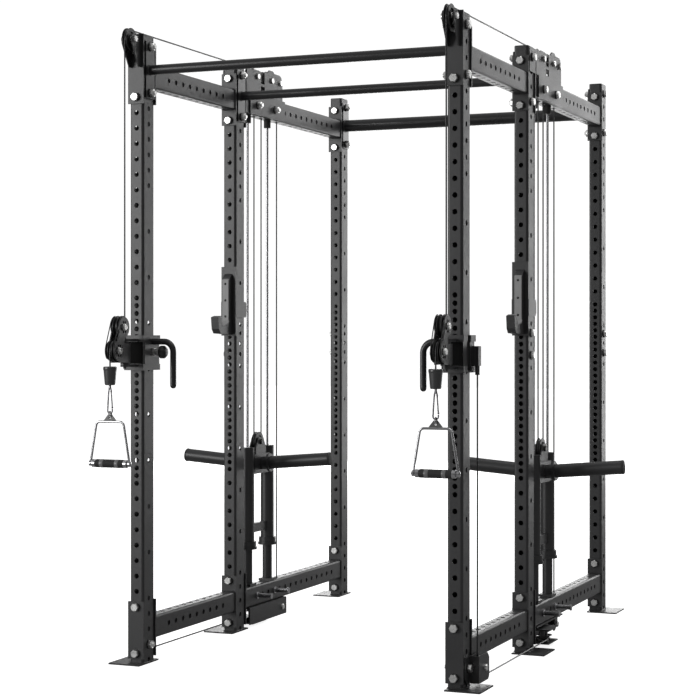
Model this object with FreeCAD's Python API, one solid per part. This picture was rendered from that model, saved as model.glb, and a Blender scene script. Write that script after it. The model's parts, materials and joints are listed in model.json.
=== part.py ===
import FreeCAD, Part
import math
import os

# A free-standing power cage of six 2 x 3 inch tube uprights, with a plate-loaded cable
# column on each side.  Millimetres, +X to the right, +Y to the rear, +Z up.  Everything is
# drawn with Y = 0 at the front faces of the front uprights, and moved back at export so
# that the origin is under the middle of the whole cage.

# ---- driving dimensions: frame ----
POST_X = 553.0            # centre plane of each side, from the middle of the cage
POST_Y = (0.0, 685.8, 1676.4)   # front faces of the front, middle and rear uprights
POST_TOP = 2070.0
TUBE_W = 50.0             # across X
TUBE_D = 75.0             # along Y, and the height of a side beam
TUBE_CORNER = 8.0
WALL = 3.0
HOLE_R = 8.5
PITCH = 50.8
FIRST_FACE_HOLE = 38.1
FACE_HOLES = 40
BENCH_HOLES = (622.3, 1181.1)   # half-pitch holes between these heights
LOW_SIDE_HOLE = 12.7
LOW_SIDE_HOLES = 5
TOP_SIDE_HOLE = 2035.6
TOP_SIDE_HOLES = 10
MIDDLE_SIDE_HOLES = 8
BRACE_HOLES = (1016.0, 1054.1, 1092.2)
BEAM_Z = (114.3, 1943.1)
PLATE_T = 6.0
PLATE_W = 58.0
PLATE_H = 188.0
BOLT_SPAN = 3 * PITCH
FOOT_T = 5.0
FOOT_OUT = 65.0
FOOT_BEYOND = 29.0
BAR_Z = TOP_SIDE_HOLE - 1.5 * PITCH
BAR_R = (16.0, 16.0, 24.0)
BOLT_R = 7.9
HEAD_AF = 24.0
HEAD_T = 10.0
LOW_HEAD_T = 5.0          # under the top pulley
WASHER_R = 15.0
WASHER_T = 3.0
NUT_T = 13.0

# ---- driving dimensions: cable columns ----
CABLE_R = 2.5
PITCH_R = 31.0            # pulley axis to cable centre
SMALL_PITCH_R = 20.0      # the same on the small pulleys under the rear beam
RIM = 5.5                 # a pulley's rim beyond its cable's centre line
GROOVE_GAP = 0.4
PULLEY_W = 16.0
AXLE_R = 6.0
RUN = 0.05                # radial running clearance of turning parts
FALL_Y = -78.0            # front fall of the cable, and the pivot of the pulley block
TOP_Z = 2050.0            # axes of the top pulleys
CARRIAGE_Y = 922.0
ROD_SPAN = 86.0
ROD_R = 4.75
HIGH_REAR_GAP = 77.0
LOW_RUN_Z = 24.0
LOW_X = 598.0             # low run of the cable, outboard of the uprights
LOW_FALL_Y = 83.0
IDLER_REAR_Y = 905.0      # the two flat idlers that lead the low run outboard
IDLER_GAP = 52.5
CARRIAGE_BOTTOM = 289.0
CARRIAGE_TOP = 667.0
CARRIAGE_SEAT = 340.0     # where the carriage rests on the tops of its stop tubes
CARRIAGE_PULLEY_Z = 685.0
SLEEVE_Z = 602.5
SLEEVE_TILT = math.radians(4.7)
SLEEVE_R = 24.0
SLEEVE_END = 297.0
SLEEVE_SEAT = 56.0        # root to the face that the first plate rests against
TROLLEY_Z = (969.0, 1084.0)
TROLLEY_PIN_Z = LOW_SIDE_HOLE + 20 * PITCH
BLOCK_UPPER = (-109.0, 1110.0)
BLOCK_LOWER = (-141.0, 1034.0)
BLOCK_HALF = 16.5         # centre plane to the outside of a block's side plate
HANDLE_Y = BLOCK_LOWER[0] - PITCH_R
STOPPER_Z = (924.0, 984.0)
HANDLE_TOP_Z = 807.0
GRIP_Z = 673.0
GRIP_R = 13.5
CUP_Z = (1083.0, 1334.0)
CUP_PIN_Z = FIRST_FACE_HOLE + 24 * PITCH

INNER = POST_X - TUBE_W / 2
OUTER = POST_X + TUBE_W / 2
FLOOR_BEAM_TOP = BEAM_Z[0] + TUBE_D / 2
UPPER_BEAM_BOTTOM = BEAM_Z[1] - TUBE_D / 2
HIGH_FRONT_Y = CARRIAGE_Y - 2 * PITCH_R
HIGH_MIDDLE_Y = CARRIAGE_Y + 2 * PITCH_R
HIGH_REAR_Y = HIGH_MIDDLE_Y + HIGH_REAR_GAP
REAR_FALL_Y = HIGH_REAR_Y + PITCH_R
TOP_PULLEY_Y = FALL_Y + PITCH_R
LOW_FRONT = (LOW_FALL_Y + PITCH_R, LOW_RUN_Z + PITCH_R)
LOW_REAR = (REAR_FALL_Y - SMALL_PITCH_R, LOW_RUN_Z + SMALL_PITCH_R)
STOPPER_R = 22.0
Y_CENTRE = (HANDLE_Y - STOPPER_R + POST_Y[2] + TUBE_D + FOOT_BEYOND) / 2


# ---- shape helpers ----
def at(x, y, z):
    return FreeCAD.Vector(x, y, z)


def block(x0, x1, y0, y1, z0, z1):
    return Part.makeBox(x1 - x0, y1 - y0, z1 - z0, at(x0, y0, z0))


def rod(radius, start, end):
    line = end - start
    return Part.makeCylinder(radius, line.Length, start, line)


def ring(radius, bore, start, end):
    return rod(radius, start, end).cut(rod(bore, start, end))


def fuse(shapes):
    whole = shapes[0].fuse(shapes[1:]) if len(shapes) > 1 else shapes[0]
    return whole.removeSplitter()


def welded(parts):
    """The members of a weldment as touching solids: each is trimmed by those before it."""
    members = []
    for part in parts:
        trimmed = part.cut(members) if members else part
        members += trimmed.Solids
    return members


def hexagon(across_flats, start, end):
    line = end - start
    corner = across_flats / math.sqrt(3)
    points = [at(corner * math.cos(math.radians(60 * k + 30)),
                 corner * math.sin(math.radians(60 * k + 30)), 0) for k in range(7)]
    prism = Part.Face(Part.makePolygon(points)).extrude(at(0, 0, line.Length))
    prism.Placement = FreeCAD.Placement(start, FreeCAD.Rotation(at(0, 0, 1), line))
    return prism


def side_plate(points, x0, x1):
    """A flat plate with a (Y, Z) outline, between two X planes."""
    corners = [at(x0, y, z) for y, z in points]
    face = Part.Face(Part.makePolygon(corners + corners[:1]))
    return face.extrude(at(x1 - x0, 0, 0))


def rounded_face(width, depth, corner):
    w, d, r = width / 2, depth / 2, corner
    k = r * (1 - math.sqrt(0.5))
    edges = []
    for sx, sy in ((1, 1), (-1, 1), (-1, -1), (1, -1)):
        flat_x, flat_y = at(sx * (w - r), sy * d, 0), at(sx * w, sy * (d - r), 0)
        middle = at(sx * (w - k), sy * (d - k), 0)
        start, end = (flat_y, flat_x) if sx * sy > 0 else (flat_x, flat_y)
        edges.append((start, middle, end))
    parts = []
    for i, (start, middle, end) in enumerate(edges):
        parts.append(Part.Arc(start, middle, end).toShape())
        parts.append(Part.LineSegment(end, edges[(i + 1) % 4][0]).toShape())
    return Part.Face(Part.Wire(parts))


def square_tube(length):
    """The frame's tube, standing on Z = 0 with its centre line on the Z axis."""
    outside = rounded_face(TUBE_W, TUBE_D, TUBE_CORNER)
    inside = rounded_face(TUBE_W - 2 * WALL, TUBE_D - 2 * WALL, TUBE_CORNER - WALL)
    return outside.extrude(at(0, 0, length)).cut(inside.extrude(at(0, 0, length)))


def cable(points, radius=CABLE_R):
    """A cable swept through (kind, ...) steps: straight lines and true arcs."""
    edges = []
    for step in points:
        if step[0] == "line":
            edges.append(Part.LineSegment(step[1], step[2]).toShape())
        else:
            edges.append(Part.Arc(step[1], step[2], step[3]).toShape())
    path = Part.Wire(edges)
    start = path.OrderedVertexes[0].Point
    first = path.OrderedEdges[0]
    low, high = first.ParameterRange
    near_low = (first.valueAt(low) - start).Length < (first.valueAt(high) - start).Length
    direction = first.tangentAt(low if near_low else high)
    section = Part.Wire(Part.makeCircle(radius, start, direction))
    return path.makePipeShell([section], True, False, 2)


def on_pulley(x, centre, degrees, radius=PITCH_R):
    """A point on a pulley whose axis is along X, at an angle from +Y towards +Z."""
    turn = math.radians(degrees)
    return at(x, centre[0] + radius * math.cos(turn), centre[1] + radius * math.sin(turn))


def wrap(x, centre, first, last):
    middle = (first + last) / 2
    return ("arc", on_pulley(x, centre, first), on_pulley(x, centre, middle),
            on_pulley(x, centre, last))


def pulley(x, centre, pitch_r=PITCH_R):
    """A grooved wheel on an X axis, recessed on both faces between its hub and its rim."""
    half, floor, rim = PULLEY_W / 2, pitch_r - CABLE_R - GROOVE_GAP, pitch_r + RIM
    web, hub, bore = floor - 5, 11.0, AXLE_R + RUN
    outline = [(-half, bore), (-half, hub), (3 - half, hub + 1), (3 - half, web), (-half, web + 1),
               (-half, rim), (2 - half, rim), (-2.8, floor)]
    outline += [(-along, r) for along, r in reversed(outline)]
    corners = [at(along, r, 0) for along, r in outline]
    wheel = Part.Face(Part.makePolygon(corners + corners[:1])).revolve(at(0, 0, 0), at(1, 0, 0), 360)
    wheel.translate(at(x, centre[0], centre[1]))
    return wheel


def mirrored(shape):
    return shape.mirror(at(0, 0, 0), at(1, 0, 0))


def export(name, shapes):
    shape = shapes[0] if len(shapes) == 1 else Part.makeCompound(shapes)
    shape = shape.copy()
    shape.translate(at(0, -Y_CENTRE, 0))
    for solid in shape.Solids:
        if not solid.isValid():
            print("INVALID solid in", name)
    shape.exportStep("parts/" + name + ".step")
    box = shape.BoundBox
    print("%-26s %2d solids  x %7.1f %7.1f  y %7.1f %7.1f  z %7.1f %7.1f" % (
        name, len(shape.Solids), box.XMin, box.XMax, box.YMin, box.YMax, box.ZMin, box.ZMax))


def export_pair(name, shapes):
    """Both sides' copies of a fixed piece, as separate solids of one node."""
    export(name, shapes + [mirrored(s) for s in shapes])


def export_sides(name, shapes):
    """A moving piece: one node on the right, and its mirror image on the left."""
    export(name + "_right", shapes)
    export(name + "_left", [mirrored(s) for s in shapes])


# ---- frame ----
def side_hole_heights(front):
    low = [LOW_SIDE_HOLE + k * PITCH for k in range(LOW_SIDE_HOLES)]
    top = [TOP_SIDE_HOLE - k * PITCH for k in range(TOP_SIDE_HOLES)]
    step = (top[-1] - low[-1]) / (MIDDLE_SIDE_HOLES + 1)
    middle = [low[-1] + k * step for k in range(1, MIDDLE_SIDE_HOLES + 1)]
    extra = [TROLLEY_PIN_Z] if front else list(BRACE_HOLES)
    return low + middle + top + extra


def face_hole_heights():
    full = [FIRST_FACE_HOLE + k * PITCH for k in range(FACE_HOLES)]
    count = round((BENCH_HOLES[1] - BENCH_HOLES[0]) / PITCH) + 1
    return full + [BENCH_HOLES[0] + k * PITCH for k in range(count)]


def upright(front_face):
    tube = square_tube(POST_TOP - FOOT_T)
    tube.translate(at(POST_X, front_face + TUBE_D / 2, FOOT_T))
    back = front_face + TUBE_D
    cutters = [rod(HOLE_R, at(POST_X, front_face - 1, z), at(POST_X, back + 1, z))
               for z in face_hole_heights()]
    middle = front_face + TUBE_D / 2
    cutters += [rod(HOLE_R, at(INNER - 1, middle, z), at(OUTER + 1, middle, z))
                for z in side_hole_heights(front_face == POST_Y[0])]
    return tube.cut(Part.makeCompound(cutters[:FACE_HOLES])).cut(cutters[FACE_HOLES:])


def end_plate(y, z, holes_z):
    plate = block(POST_X - PLATE_W / 2, POST_X + PLATE_W / 2, y, y + PLATE_T,
                  z - PLATE_H / 2, z + PLATE_H / 2)
    return plate.cut([rod(BOLT_R + 0.4, at(POST_X, y - 1, h), at(POST_X, y + PLATE_T + 1, h))
                      for h in holes_z])


def bolt_heights(beam_z):
    return (beam_z - BOLT_SPAN / 2, beam_z + BOLT_SPAN / 2)


def side_beam(front, back, z, cable_holes):
    """A side beam with its welded end plates; cable_holes are (y, radius) through Z."""
    tube = square_tube(back - front - 2 * PLATE_T)
    tube.rotate(at(0, 0, 0), at(1, 0, 0), -90)
    tube.translate(at(POST_X, front + PLATE_T, z))
    count = int((back - front - 120) / PITCH)
    middle = (front + back) / 2
    rows = [middle + (k - (count - 1) / 2) * PITCH for k in range(count)]
    low, high = z - TUBE_D / 2 - 1, z + TUBE_D / 2 + 1
    tube = tube.cut([rod(HOLE_R, at(INNER - 1, y, z), at(OUTER + 1, y, z)) for y in rows])
    clear = [y for y in rows if not cable_holes or y > REAR_FALL_Y + 30]
    tube = tube.cut([rod(HOLE_R, at(POST_X, y, low), at(POST_X, y, high)) for y in clear])
    for y, radius in cable_holes:
        tube = tube.cut(rod(radius, at(POST_X, y, low), at(POST_X, y, high)))
    return [tube, end_plate(front, z, bolt_heights(z)), end_plate(back - PLATE_T, z, bolt_heights(z))]


def pull_up_bar(front_face, radius):
    middle = front_face + TUBE_D / 2
    face = INNER - PLATE_T
    parts = [rod(radius, at(-face, middle, BAR_Z), at(face, middle, BAR_Z))]
    for side in (-1, 1):
        x0, x1 = sorted((side * face, side * INNER))
        plate = block(x0, x1, middle - PLATE_W / 2, middle + PLATE_W / 2,
                      BAR_Z - PLATE_H / 2, BAR_Z + PLATE_H / 2)
        for z in (BAR_Z - BOLT_SPAN / 2, BAR_Z + BOLT_SPAN / 2):
            plate = plate.cut(rod(BOLT_R + 0.4, at(x0 - 1, middle, z), at(x1 + 1, middle, z)))
        parts.append(plate)
    return parts


def foot_plate(front_face):
    return block(INNER, OUTER + FOOT_OUT, front_face - FOOT_BEYOND,
                 front_face + TUBE_D + FOOT_BEYOND, 0, FOOT_T)


def bolt(start, end, head=HEAD_T):
    """A hex bolt: start is the seat under its washer, end the tip of its shank."""
    way = (start - end).normalize()
    seat = start + way * WASHER_T
    return fuse([rod(BOLT_R, end, seat), rod(WASHER_R, start, seat),
                 hexagon(HEAD_AF, seat, seat + way * head)])


def nut(seat, way):
    """A hex nut with its washer, on a shank; way points out of the joint."""
    body = fuse([rod(WASHER_R, seat, seat + way * WASHER_T),
                 hexagon(HEAD_AF, seat + way * WASHER_T, seat + way * (WASHER_T + NUT_T))])
    return body.cut(rod(BOLT_R + 0.05, seat - way, seat + way * (WASHER_T + NUT_T + 1)))


def frame_fasteners():
    """Bolts and nuts of the right side; the left side mirrors them."""
    bolts, nuts = [], []
    forward, inward = at(0, -1, 0), at(-1, 0, 0)
    reach = WASHER_T + NUT_T + 4
    for z in bolt_heights(BEAM_Z[0]) + bolt_heights(BEAM_Z[1]):
        joints = ((POST_Y[0] - PLATE_T, POST_Y[0] + TUBE_D + PLATE_T),
                  (POST_Y[1] - PLATE_T, POST_Y[1] + TUBE_D + PLATE_T),
                  (POST_Y[2] - PLATE_T, POST_Y[2] + TUBE_D))
        for seat, back in joints:
            low_head = seat < 0 and z > BAR_Z
            head = LOW_HEAD_T if low_head else HEAD_T
            bolts.append(bolt(at(POST_X, seat, z), at(POST_X, back + reach, z), head))
            nuts.append(nut(at(POST_X, back, z), forward * -1))
    for i, front_face in enumerate(POST_Y):
        middle = front_face + TUBE_D / 2
        seat = OUTER + (HIGH_PLATE_T if i == 1 else 0)
        for z in (BAR_Z - BOLT_SPAN / 2, BAR_Z + BOLT_SPAN / 2):
            outer = seat if z > BAR_Z else OUTER
            bolts.append(bolt(at(outer, middle, z), at(INNER - PLATE_T - reach, middle, z)))
            nuts.append(nut(at(INNER - PLATE_T, middle, z), inward))
        if i:
            for z in (BRACE_HOLES[0], BRACE_HOLES[-1]):
                bolts.append(bolt(at(OUTER, middle, z), at(OUTER - 2 * WALL - 12, middle, z)))
    return bolts, nuts


# ---- pulley brackets on the frame ----
HIGH_PLATE_T = 5.0
CHEEK = 11.0              # pulley plane to the inside of a bracket cheek
TOP_CHEEK = 15.6          # the same on the top bracket, whose ribs straddle a bolt head
CHEEK_T = 4.0


def axle(x0, x1, centre, hub_x, head=7.0):
    """A pulley axle between two cheeks, with spacers up to the pulley and a head outside."""
    gap = PULLEY_W / 2 + 0.6
    y, z = centre
    parts = [rod(AXLE_R, at(x0, y, z), at(x1, y, z)), hexagon(19, at(x1, y, z), at(x1 + 7, y, z))]
    if head:
        parts.append(hexagon(19, at(x0 - head, y, z), at(x0, y, z)))
    inside = (x0 + HIGH_PLATE_T + 0.2, x1 - HIGH_PLATE_T - 0.2)
    for low, high in ((inside[0], hub_x - gap), (hub_x + gap, inside[1])):
        if high - low > 0.5:
            parts.append(rod(9, at(low, y, z), at(high, y, z)))
    return fuse(parts)


def bored(plate, centres, x0, x1, radius=AXLE_R + 0.1):
    return plate.cut([rod(radius, at(x0 - 1, y, z), at(x1 + 1, y, z)) for y, z in centres])


def bored_all(members, centres, x0, x1, radius):
    """Bores the members of a weldment along X."""
    return [solid for part in members for solid in bored(part, centres, x0, x1, radius).Solids]


def top_pulley_bracket():
    """Base plate on the front upright's front face, with two ribs that hold the pulley."""
    base = block(POST_X - PLATE_W / 2, POST_X + PLATE_W / 2, -PLATE_T, 0,
                 BEAM_Z[1] - PLATE_H / 2 - 4, POST_TOP + 4)
    base = base.cut([rod(BOLT_R + 0.4, at(POST_X, -PLATE_T - 1, z), at(POST_X, 1, z))
                     for z in bolt_heights(BEAM_Z[1])])
    y, z = TOP_PULLEY_Y, TOP_Z
    outline = [(-PLATE_T, z - 86), (-PLATE_T - 14, z - 86), (y - 17, z - 15), (y - 20, z),
               (y - 14, z + 14), (y, z + 20), (-PLATE_T, z + 20)]
    ribs = []
    for x0 in (POST_X - TOP_CHEEK - CHEEK_T, POST_X + TOP_CHEEK):
        ribs.append(bored(side_plate(outline, x0, x0 + CHEEK_T), [(y, z)], x0, x0 + CHEEK_T))
    return [base] + ribs


def high_plate(x0, wing):
    """One of the two plates that carry the high pulleys on the rear upper beam."""
    front = POST_Y[1] + 6 if wing else POST_Y[1] + TUBE_D + 8
    beam_start = POST_Y[1] + TUBE_D + 40
    step, low = UPPER_BEAM_BOTTOM + TUBE_D + 4, UPPER_BEAM_BOTTOM + 2
    lobe = TOP_Z + PITCH_R + RIM + 1.5
    rear = HIGH_REAR_Y + 21
    outline = [(front, POST_TOP - 2), (front, step), (beam_start, step), (beam_start, low),
               (rear + 24, low), (rear + 24, step), (rear, step), (rear, TOP_Z + 4),
               (rear - 12, TOP_Z + 24), (HIGH_REAR_Y - 4, TOP_Z + 30), (HIGH_MIDDLE_Y + 26, lobe - 8),
               (HIGH_MIDDLE_Y + 12, lobe), (HIGH_MIDDLE_Y - 18, lobe), (HIGH_MIDDLE_Y - 40, TOP_Z + 24),
               (HIGH_MIDDLE_Y - 78, TOP_Z + 20), (HIGH_FRONT_Y + 8, TOP_Z + 24),
               (HIGH_FRONT_Y - 34, TOP_Z + 24), (HIGH_FRONT_Y - 44, POST_TOP - 2)]
    plate = side_plate(outline, x0, x0 + HIGH_PLATE_T)
    slot_y = (HIGH_FRONT_Y + HIGH_MIDDLE_Y) / 2 - 16
    plate = plate.cut(block(x0 - 1, x0 + 9, slot_y - 15, slot_y + 15, TOP_Z - 22, TOP_Z + 60))
    plate = plate.cut(block(x0 - 1, x0 + 9, slot_y - 17, slot_y + 17, TOP_Z - 54, TOP_Z - 32))
    centres = [(HIGH_FRONT_Y, TOP_Z), (HIGH_MIDDLE_Y, TOP_Z), (HIGH_REAR_Y, TOP_Z)]
    plate = bored(plate, centres, x0, x0 + HIGH_PLATE_T)
    plate = bored(plate, HIGH_BOLTS, x0, x0 + HIGH_PLATE_T, BOLT_R + 0.4)
    if not wing:
        return plate
    end = POST_Y[1] + TUBE_D
    slit = block(x0 - 1, x0 + 9, end - 1, end + PLATE_T + 1, step - 1, BEAM_Z[1] + PLATE_H / 2 + 1)
    post_bolt = [(POST_Y[1] + TUBE_D / 2, TOP_SIDE_HOLE)]
    return bored(plate.cut(slit), post_bolt, x0, x0 + HIGH_PLATE_T, BOLT_R + 0.4)


HIGH_BOLTS = [(864.0, BEAM_Z[1]), (864.0 + BOLT_SPAN, BEAM_Z[1])]


def low_front_housing():
    """Open-topped box beside the front upright's foot, bolted through a side hole."""
    z0, z1 = 14.0, 98.0
    front, back = 54.0, LOW_FRONT[0] + 41
    mount = side_plate([(6, 35), (6, z1 - 10), (16, z1), (TUBE_D - 1, z1), (TUBE_D - 1, z0), (30, z0)],
                       OUTER, OUTER + 5)
    outline = [(front, z0), (front, z1), (back - 16, z1), (back, z1 - 16), (back, z0 + 10),
               (back - 10, z0)]
    inner = side_plate(outline, OUTER + 5, OUTER + 5 + CHEEK_T)
    cover = side_plate(outline, LOW_X + CHEEK, LOW_X + CHEEK + CHEEK_T)
    wall = block(OUTER + 5, LOW_X + CHEEK, front, front + 5, z0, z1)
    cheeks = bored_all([inner, cover], [LOW_FRONT], OUTER + 5, LOW_X + CHEEK + CHEEK_T, AXLE_R + 0.1)
    mount = bored(mount, [(TUBE_D / 2, LOW_SIDE_HOLE + PITCH)], OUTER, OUTER + 5, BOLT_R + 0.4)
    return welded([mount] + cheeks + [wall])


def idler_turn():
    """Angle of the S bend round the two flat idlers, which moves the cable out to LOW_X."""
    across = 2 * SMALL_PITCH_R
    return math.acos((across - LOW_X + POST_X) / IDLER_GAP) - math.acos(across / IDLER_GAP)


def idler_centres():
    rear_x, front_x = POST_X + SMALL_PITCH_R, LOW_X - SMALL_PITCH_R
    along = math.sqrt(IDLER_GAP ** 2 - (front_x - rear_x) ** 2)
    return (rear_x, IDLER_REAR_Y), (front_x, IDLER_REAR_Y - along)


def idler(x, y):
    wheel = pulley(0, (0, 0), SMALL_PITCH_R)
    wheel.rotate(at(0, 0, 0), at(0, 1, 0), 90)
    wheel.translate(at(x, y, LOW_RUN_Z))
    return wheel


def rear_channel():
    """Bracket under the rear lower beam: top plate, inner hanger, pulley cheek and idler shelf."""
    beam_bottom = BEAM_Z[0] - TUBE_D / 2
    under = beam_bottom - 5
    front, back = POST_Y[1] + TUBE_D + 28, REAR_FALL_Y + 20
    top = block(INNER - 4, OUTER + 2, front, back, under, beam_bottom)
    top = top.cut(rod(12, at(POST_X, REAR_FALL_Y, under - 1), at(POST_X, REAR_FALL_Y, beam_bottom + 1)))
    hanger = block(INNER - 8, INNER - 4, front, back, 14, beam_bottom)
    y, z = LOW_REAR
    cheek = side_plate([(y - 18, z - 12), (y - 24, under), (y + 18, under), (y + 12, z - 12)],
                       POST_X + CHEEK, POST_X + CHEEK + CHEEK_T)
    body = bored_all([top, hanger, cheek], [LOW_REAR], INNER - 8, POST_X + CHEEK + CHEEK_T, AXLE_R + 0.1)
    centres = idler_centres()
    box_front, box_back = centres[1][1] - 32, centres[0][1] + 32
    outer_edge = LOW_X + 14
    floor, lid = LOW_RUN_Z - PULLEY_W / 2 - 5, LOW_RUN_Z + 34
    walls = [block(INNER - 4, outer_edge, box_front, box_back, floor, floor + 4),
             block(INNER - 4, outer_edge, box_front, box_back, lid, lid + 4),
             block(INNER - 4, INNER, box_front, box_back, floor, under),
             block(INNER - 4, INNER + 20, box_front, box_back, lid + 4, under)]
    shafts = [fuse([rod(AXLE_R, at(x, y, floor), at(x, y, lid)),
                    rod(10, at(x, y, LOW_RUN_Z + PULLEY_W / 2 + 1), at(x, y, lid))]) for x, y in centres]
    return welded(body + walls + shafts)


# ---- cable columns ----
def rod_places():
    return (CARRIAGE_Y - ROD_SPAN, CARRIAGE_Y + ROD_SPAN)


def guide_rod(y):
    return rod(ROD_R, at(POST_X, y, FLOOR_BEAM_TOP), at(POST_X, y, UPPER_BEAM_BOTTOM))


def stop_tube(y):
    base = block(POST_X - 24, POST_X + 24, y - 27, y + 27, FLOOR_BEAM_TOP, FLOOR_BEAM_TOP + 10)
    tube = rod(18, at(POST_X, y, FLOOR_BEAM_TOP), at(POST_X, y, CARRIAGE_SEAT - 0.2))
    bore = rod(ROD_R + 0.1, at(POST_X, y, 100), at(POST_X, y, 400))
    return [part.cut(bore) for part in welded([tube, base])]


def rod_bumper(y):
    top = UPPER_BEAM_BOTTOM
    return ring(13, ROD_R + 0.05, at(POST_X, y, top - 30), at(POST_X, y, top))


def sleeve(side):
    """One loading sleeve, rising outwards: its flanged root, and the bar that takes plates."""
    way = at(side * math.cos(SLEEVE_TILT), 0, math.sin(SLEEVE_TILT))
    root = at(POST_X, CARRIAGE_Y, SLEEVE_Z)
    length = SLEEVE_END / math.cos(SLEEVE_TILT)
    flange = root + way * SLEEVE_SEAT
    stub = fuse([rod(SLEEVE_R, root + way * 10, flange), rod(34, flange - way * 8, flange)])
    return [stub, rod(SLEEVE_R, flange, root + way * length)]


def carriage():
    y0, y1 = rod_places()
    bush, low = 27.0, CARRIAGE_BOTTOM
    tubes, collars = [], []
    for y in (y0, y1):
        tube = rod(25, at(POST_X, y, low), at(POST_X, y, CARRIAGE_TOP))
        bores = ((20, low - 1, CARRIAGE_SEAT), (ROD_R + 0.08, low, CARRIAGE_TOP + 1),
                 (12, CARRIAGE_SEAT + bush, CARRIAGE_TOP - bush))
        for radius, start, end in bores:
            tube = tube.cut(rod(radius, at(POST_X, y, start), at(POST_X, y, end)))
        tubes.append(tube)
        collars.append(ring(35, 25, at(POST_X, y, low), at(POST_X, y, low + 9)))
        collars.append(ring(32, 25, at(POST_X, y, low + 9), at(POST_X, y, low + 29)))
    strap = block(POST_X - 8, POST_X + 8, y0 + 20, y1 - 20, 347, 380)
    head = block(POST_X - 20, POST_X + 20, y0 + 20, y1 - 20, 567, 640)
    outline = [(CARRIAGE_Y - 44, 630), (CARRIAGE_Y - 44, 660), (CARRIAGE_Y - 20, CARRIAGE_PULLEY_Z + 16),
               (CARRIAGE_Y + 20, CARRIAGE_PULLEY_Z + 16), (CARRIAGE_Y + 44, 660), (CARRIAGE_Y + 44, 630)]
    reach = CHEEK + CHEEK_T
    pin = axle(POST_X - reach, POST_X + reach, (CARRIAGE_Y, CARRIAGE_PULLEY_Z), POST_X)
    cheeks = [side_plate(outline, x0, x0 + CHEEK_T) for x0 in (POST_X - reach, POST_X + CHEEK)]
    return welded(tubes + collars + [strap, head, pin] + cheeks + sleeve(-1) + sleeve(1))


def band_peg(y):
    z = BEAM_Z[0]
    reach = TUBE_W / 2 + 61
    parts = [rod(8.3, at(POST_X - reach, y, z), at(POST_X + reach, y, z))]
    for side in (-1, 1):
        face = POST_X + side * TUBE_W / 2
        tip = POST_X + side * reach
        parts.append(rod(13, at(face, y, z), at(face + side * 5, y, z)))
        parts.append(rod(11, at(tip - side * 5, y, z), at(tip, y, z)))
    return fuse(parts)


# ---- cables ----
def idler_bend(centre, first, last):
    """The cable's arc round a flat idler, between two angles from +X towards +Y."""
    points = []
    for angle in (first, (first + last) / 2, last):
        points.append(at(centre[0] + SMALL_PITCH_R * math.cos(angle),
                         centre[1] + SMALL_PITCH_R * math.sin(angle), LOW_RUN_Z))
    return ("arc", points[0], points[1], points[2])


def fixed_cables():
    """The two stretches that stay on the frame's pulleys."""
    x = POST_X
    front, high_front = (TOP_PULLEY_Y, TOP_Z), (HIGH_FRONT_Y, TOP_Z)
    top = cable([wrap(x, front, 180, 90),
                 ("line", on_pulley(x, front, 90), on_pulley(x, high_front, 90)),
                 wrap(x, high_front, 90, 0)])
    middle, rear = (HIGH_MIDDLE_Y, TOP_Z), (HIGH_REAR_Y, TOP_Z)
    small, turn = SMALL_PITCH_R, idler_turn()
    rear_idler, front_idler = idler_centres()
    first = idler_bend(rear_idler, math.pi, math.pi + turn)
    second = idler_bend(front_idler, turn, 0)
    rest = cable([wrap(x, middle, 180, 90),
                  ("line", on_pulley(x, middle, 90), on_pulley(x, rear, 90)),
                  wrap(x, rear, 90, 0),
                  ("line", on_pulley(x, rear, 0), on_pulley(x, LOW_REAR, 0, small)),
                  ("arc", on_pulley(x, LOW_REAR, 0, small), on_pulley(x, LOW_REAR, -45, small),
                   on_pulley(x, LOW_REAR, -90, small)),
                  ("line", on_pulley(x, LOW_REAR, -90, small), first[1]), first,
                  ("line", first[3], second[1]), second,
                  ("line", second[3], on_pulley(LOW_X, LOW_FRONT, 270)),
                  wrap(LOW_X, LOW_FRONT, 270, 180)])
    return [top, rest]


def carriage_cable():
    x, z = POST_X, CARRIAGE_PULLEY_Z
    centre = (CARRIAGE_Y, z)
    return cable([("line", at(x, CARRIAGE_Y - PITCH_R, TOP_Z), at(x, CARRIAGE_Y - PITCH_R, z)),
                  wrap(x, centre, 180, 360),
                  ("line", at(x, CARRIAGE_Y + PITCH_R, z), at(x, CARRIAGE_Y + PITCH_R, TOP_Z))])


def block_cross_angle():
    dy, dz = BLOCK_LOWER[0] - BLOCK_UPPER[0], BLOCK_LOWER[1] - BLOCK_UPPER[1]
    spread = math.acos(2 * PITCH_R / math.hypot(dy, dz))
    return math.degrees(math.atan2(dz, dy) + spread)


def block_cable():
    """From the front fall, round the back of the upper pulley and over the lower one."""
    leave = block_cross_angle()
    x = POST_X
    return cable([wrap(x, BLOCK_UPPER, 0, leave),
                  ("line", on_pulley(x, BLOCK_UPPER, leave), on_pulley(x, BLOCK_LOWER, leave + 180)),
                  wrap(x, BLOCK_LOWER, leave + 180, 180)])


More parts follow.
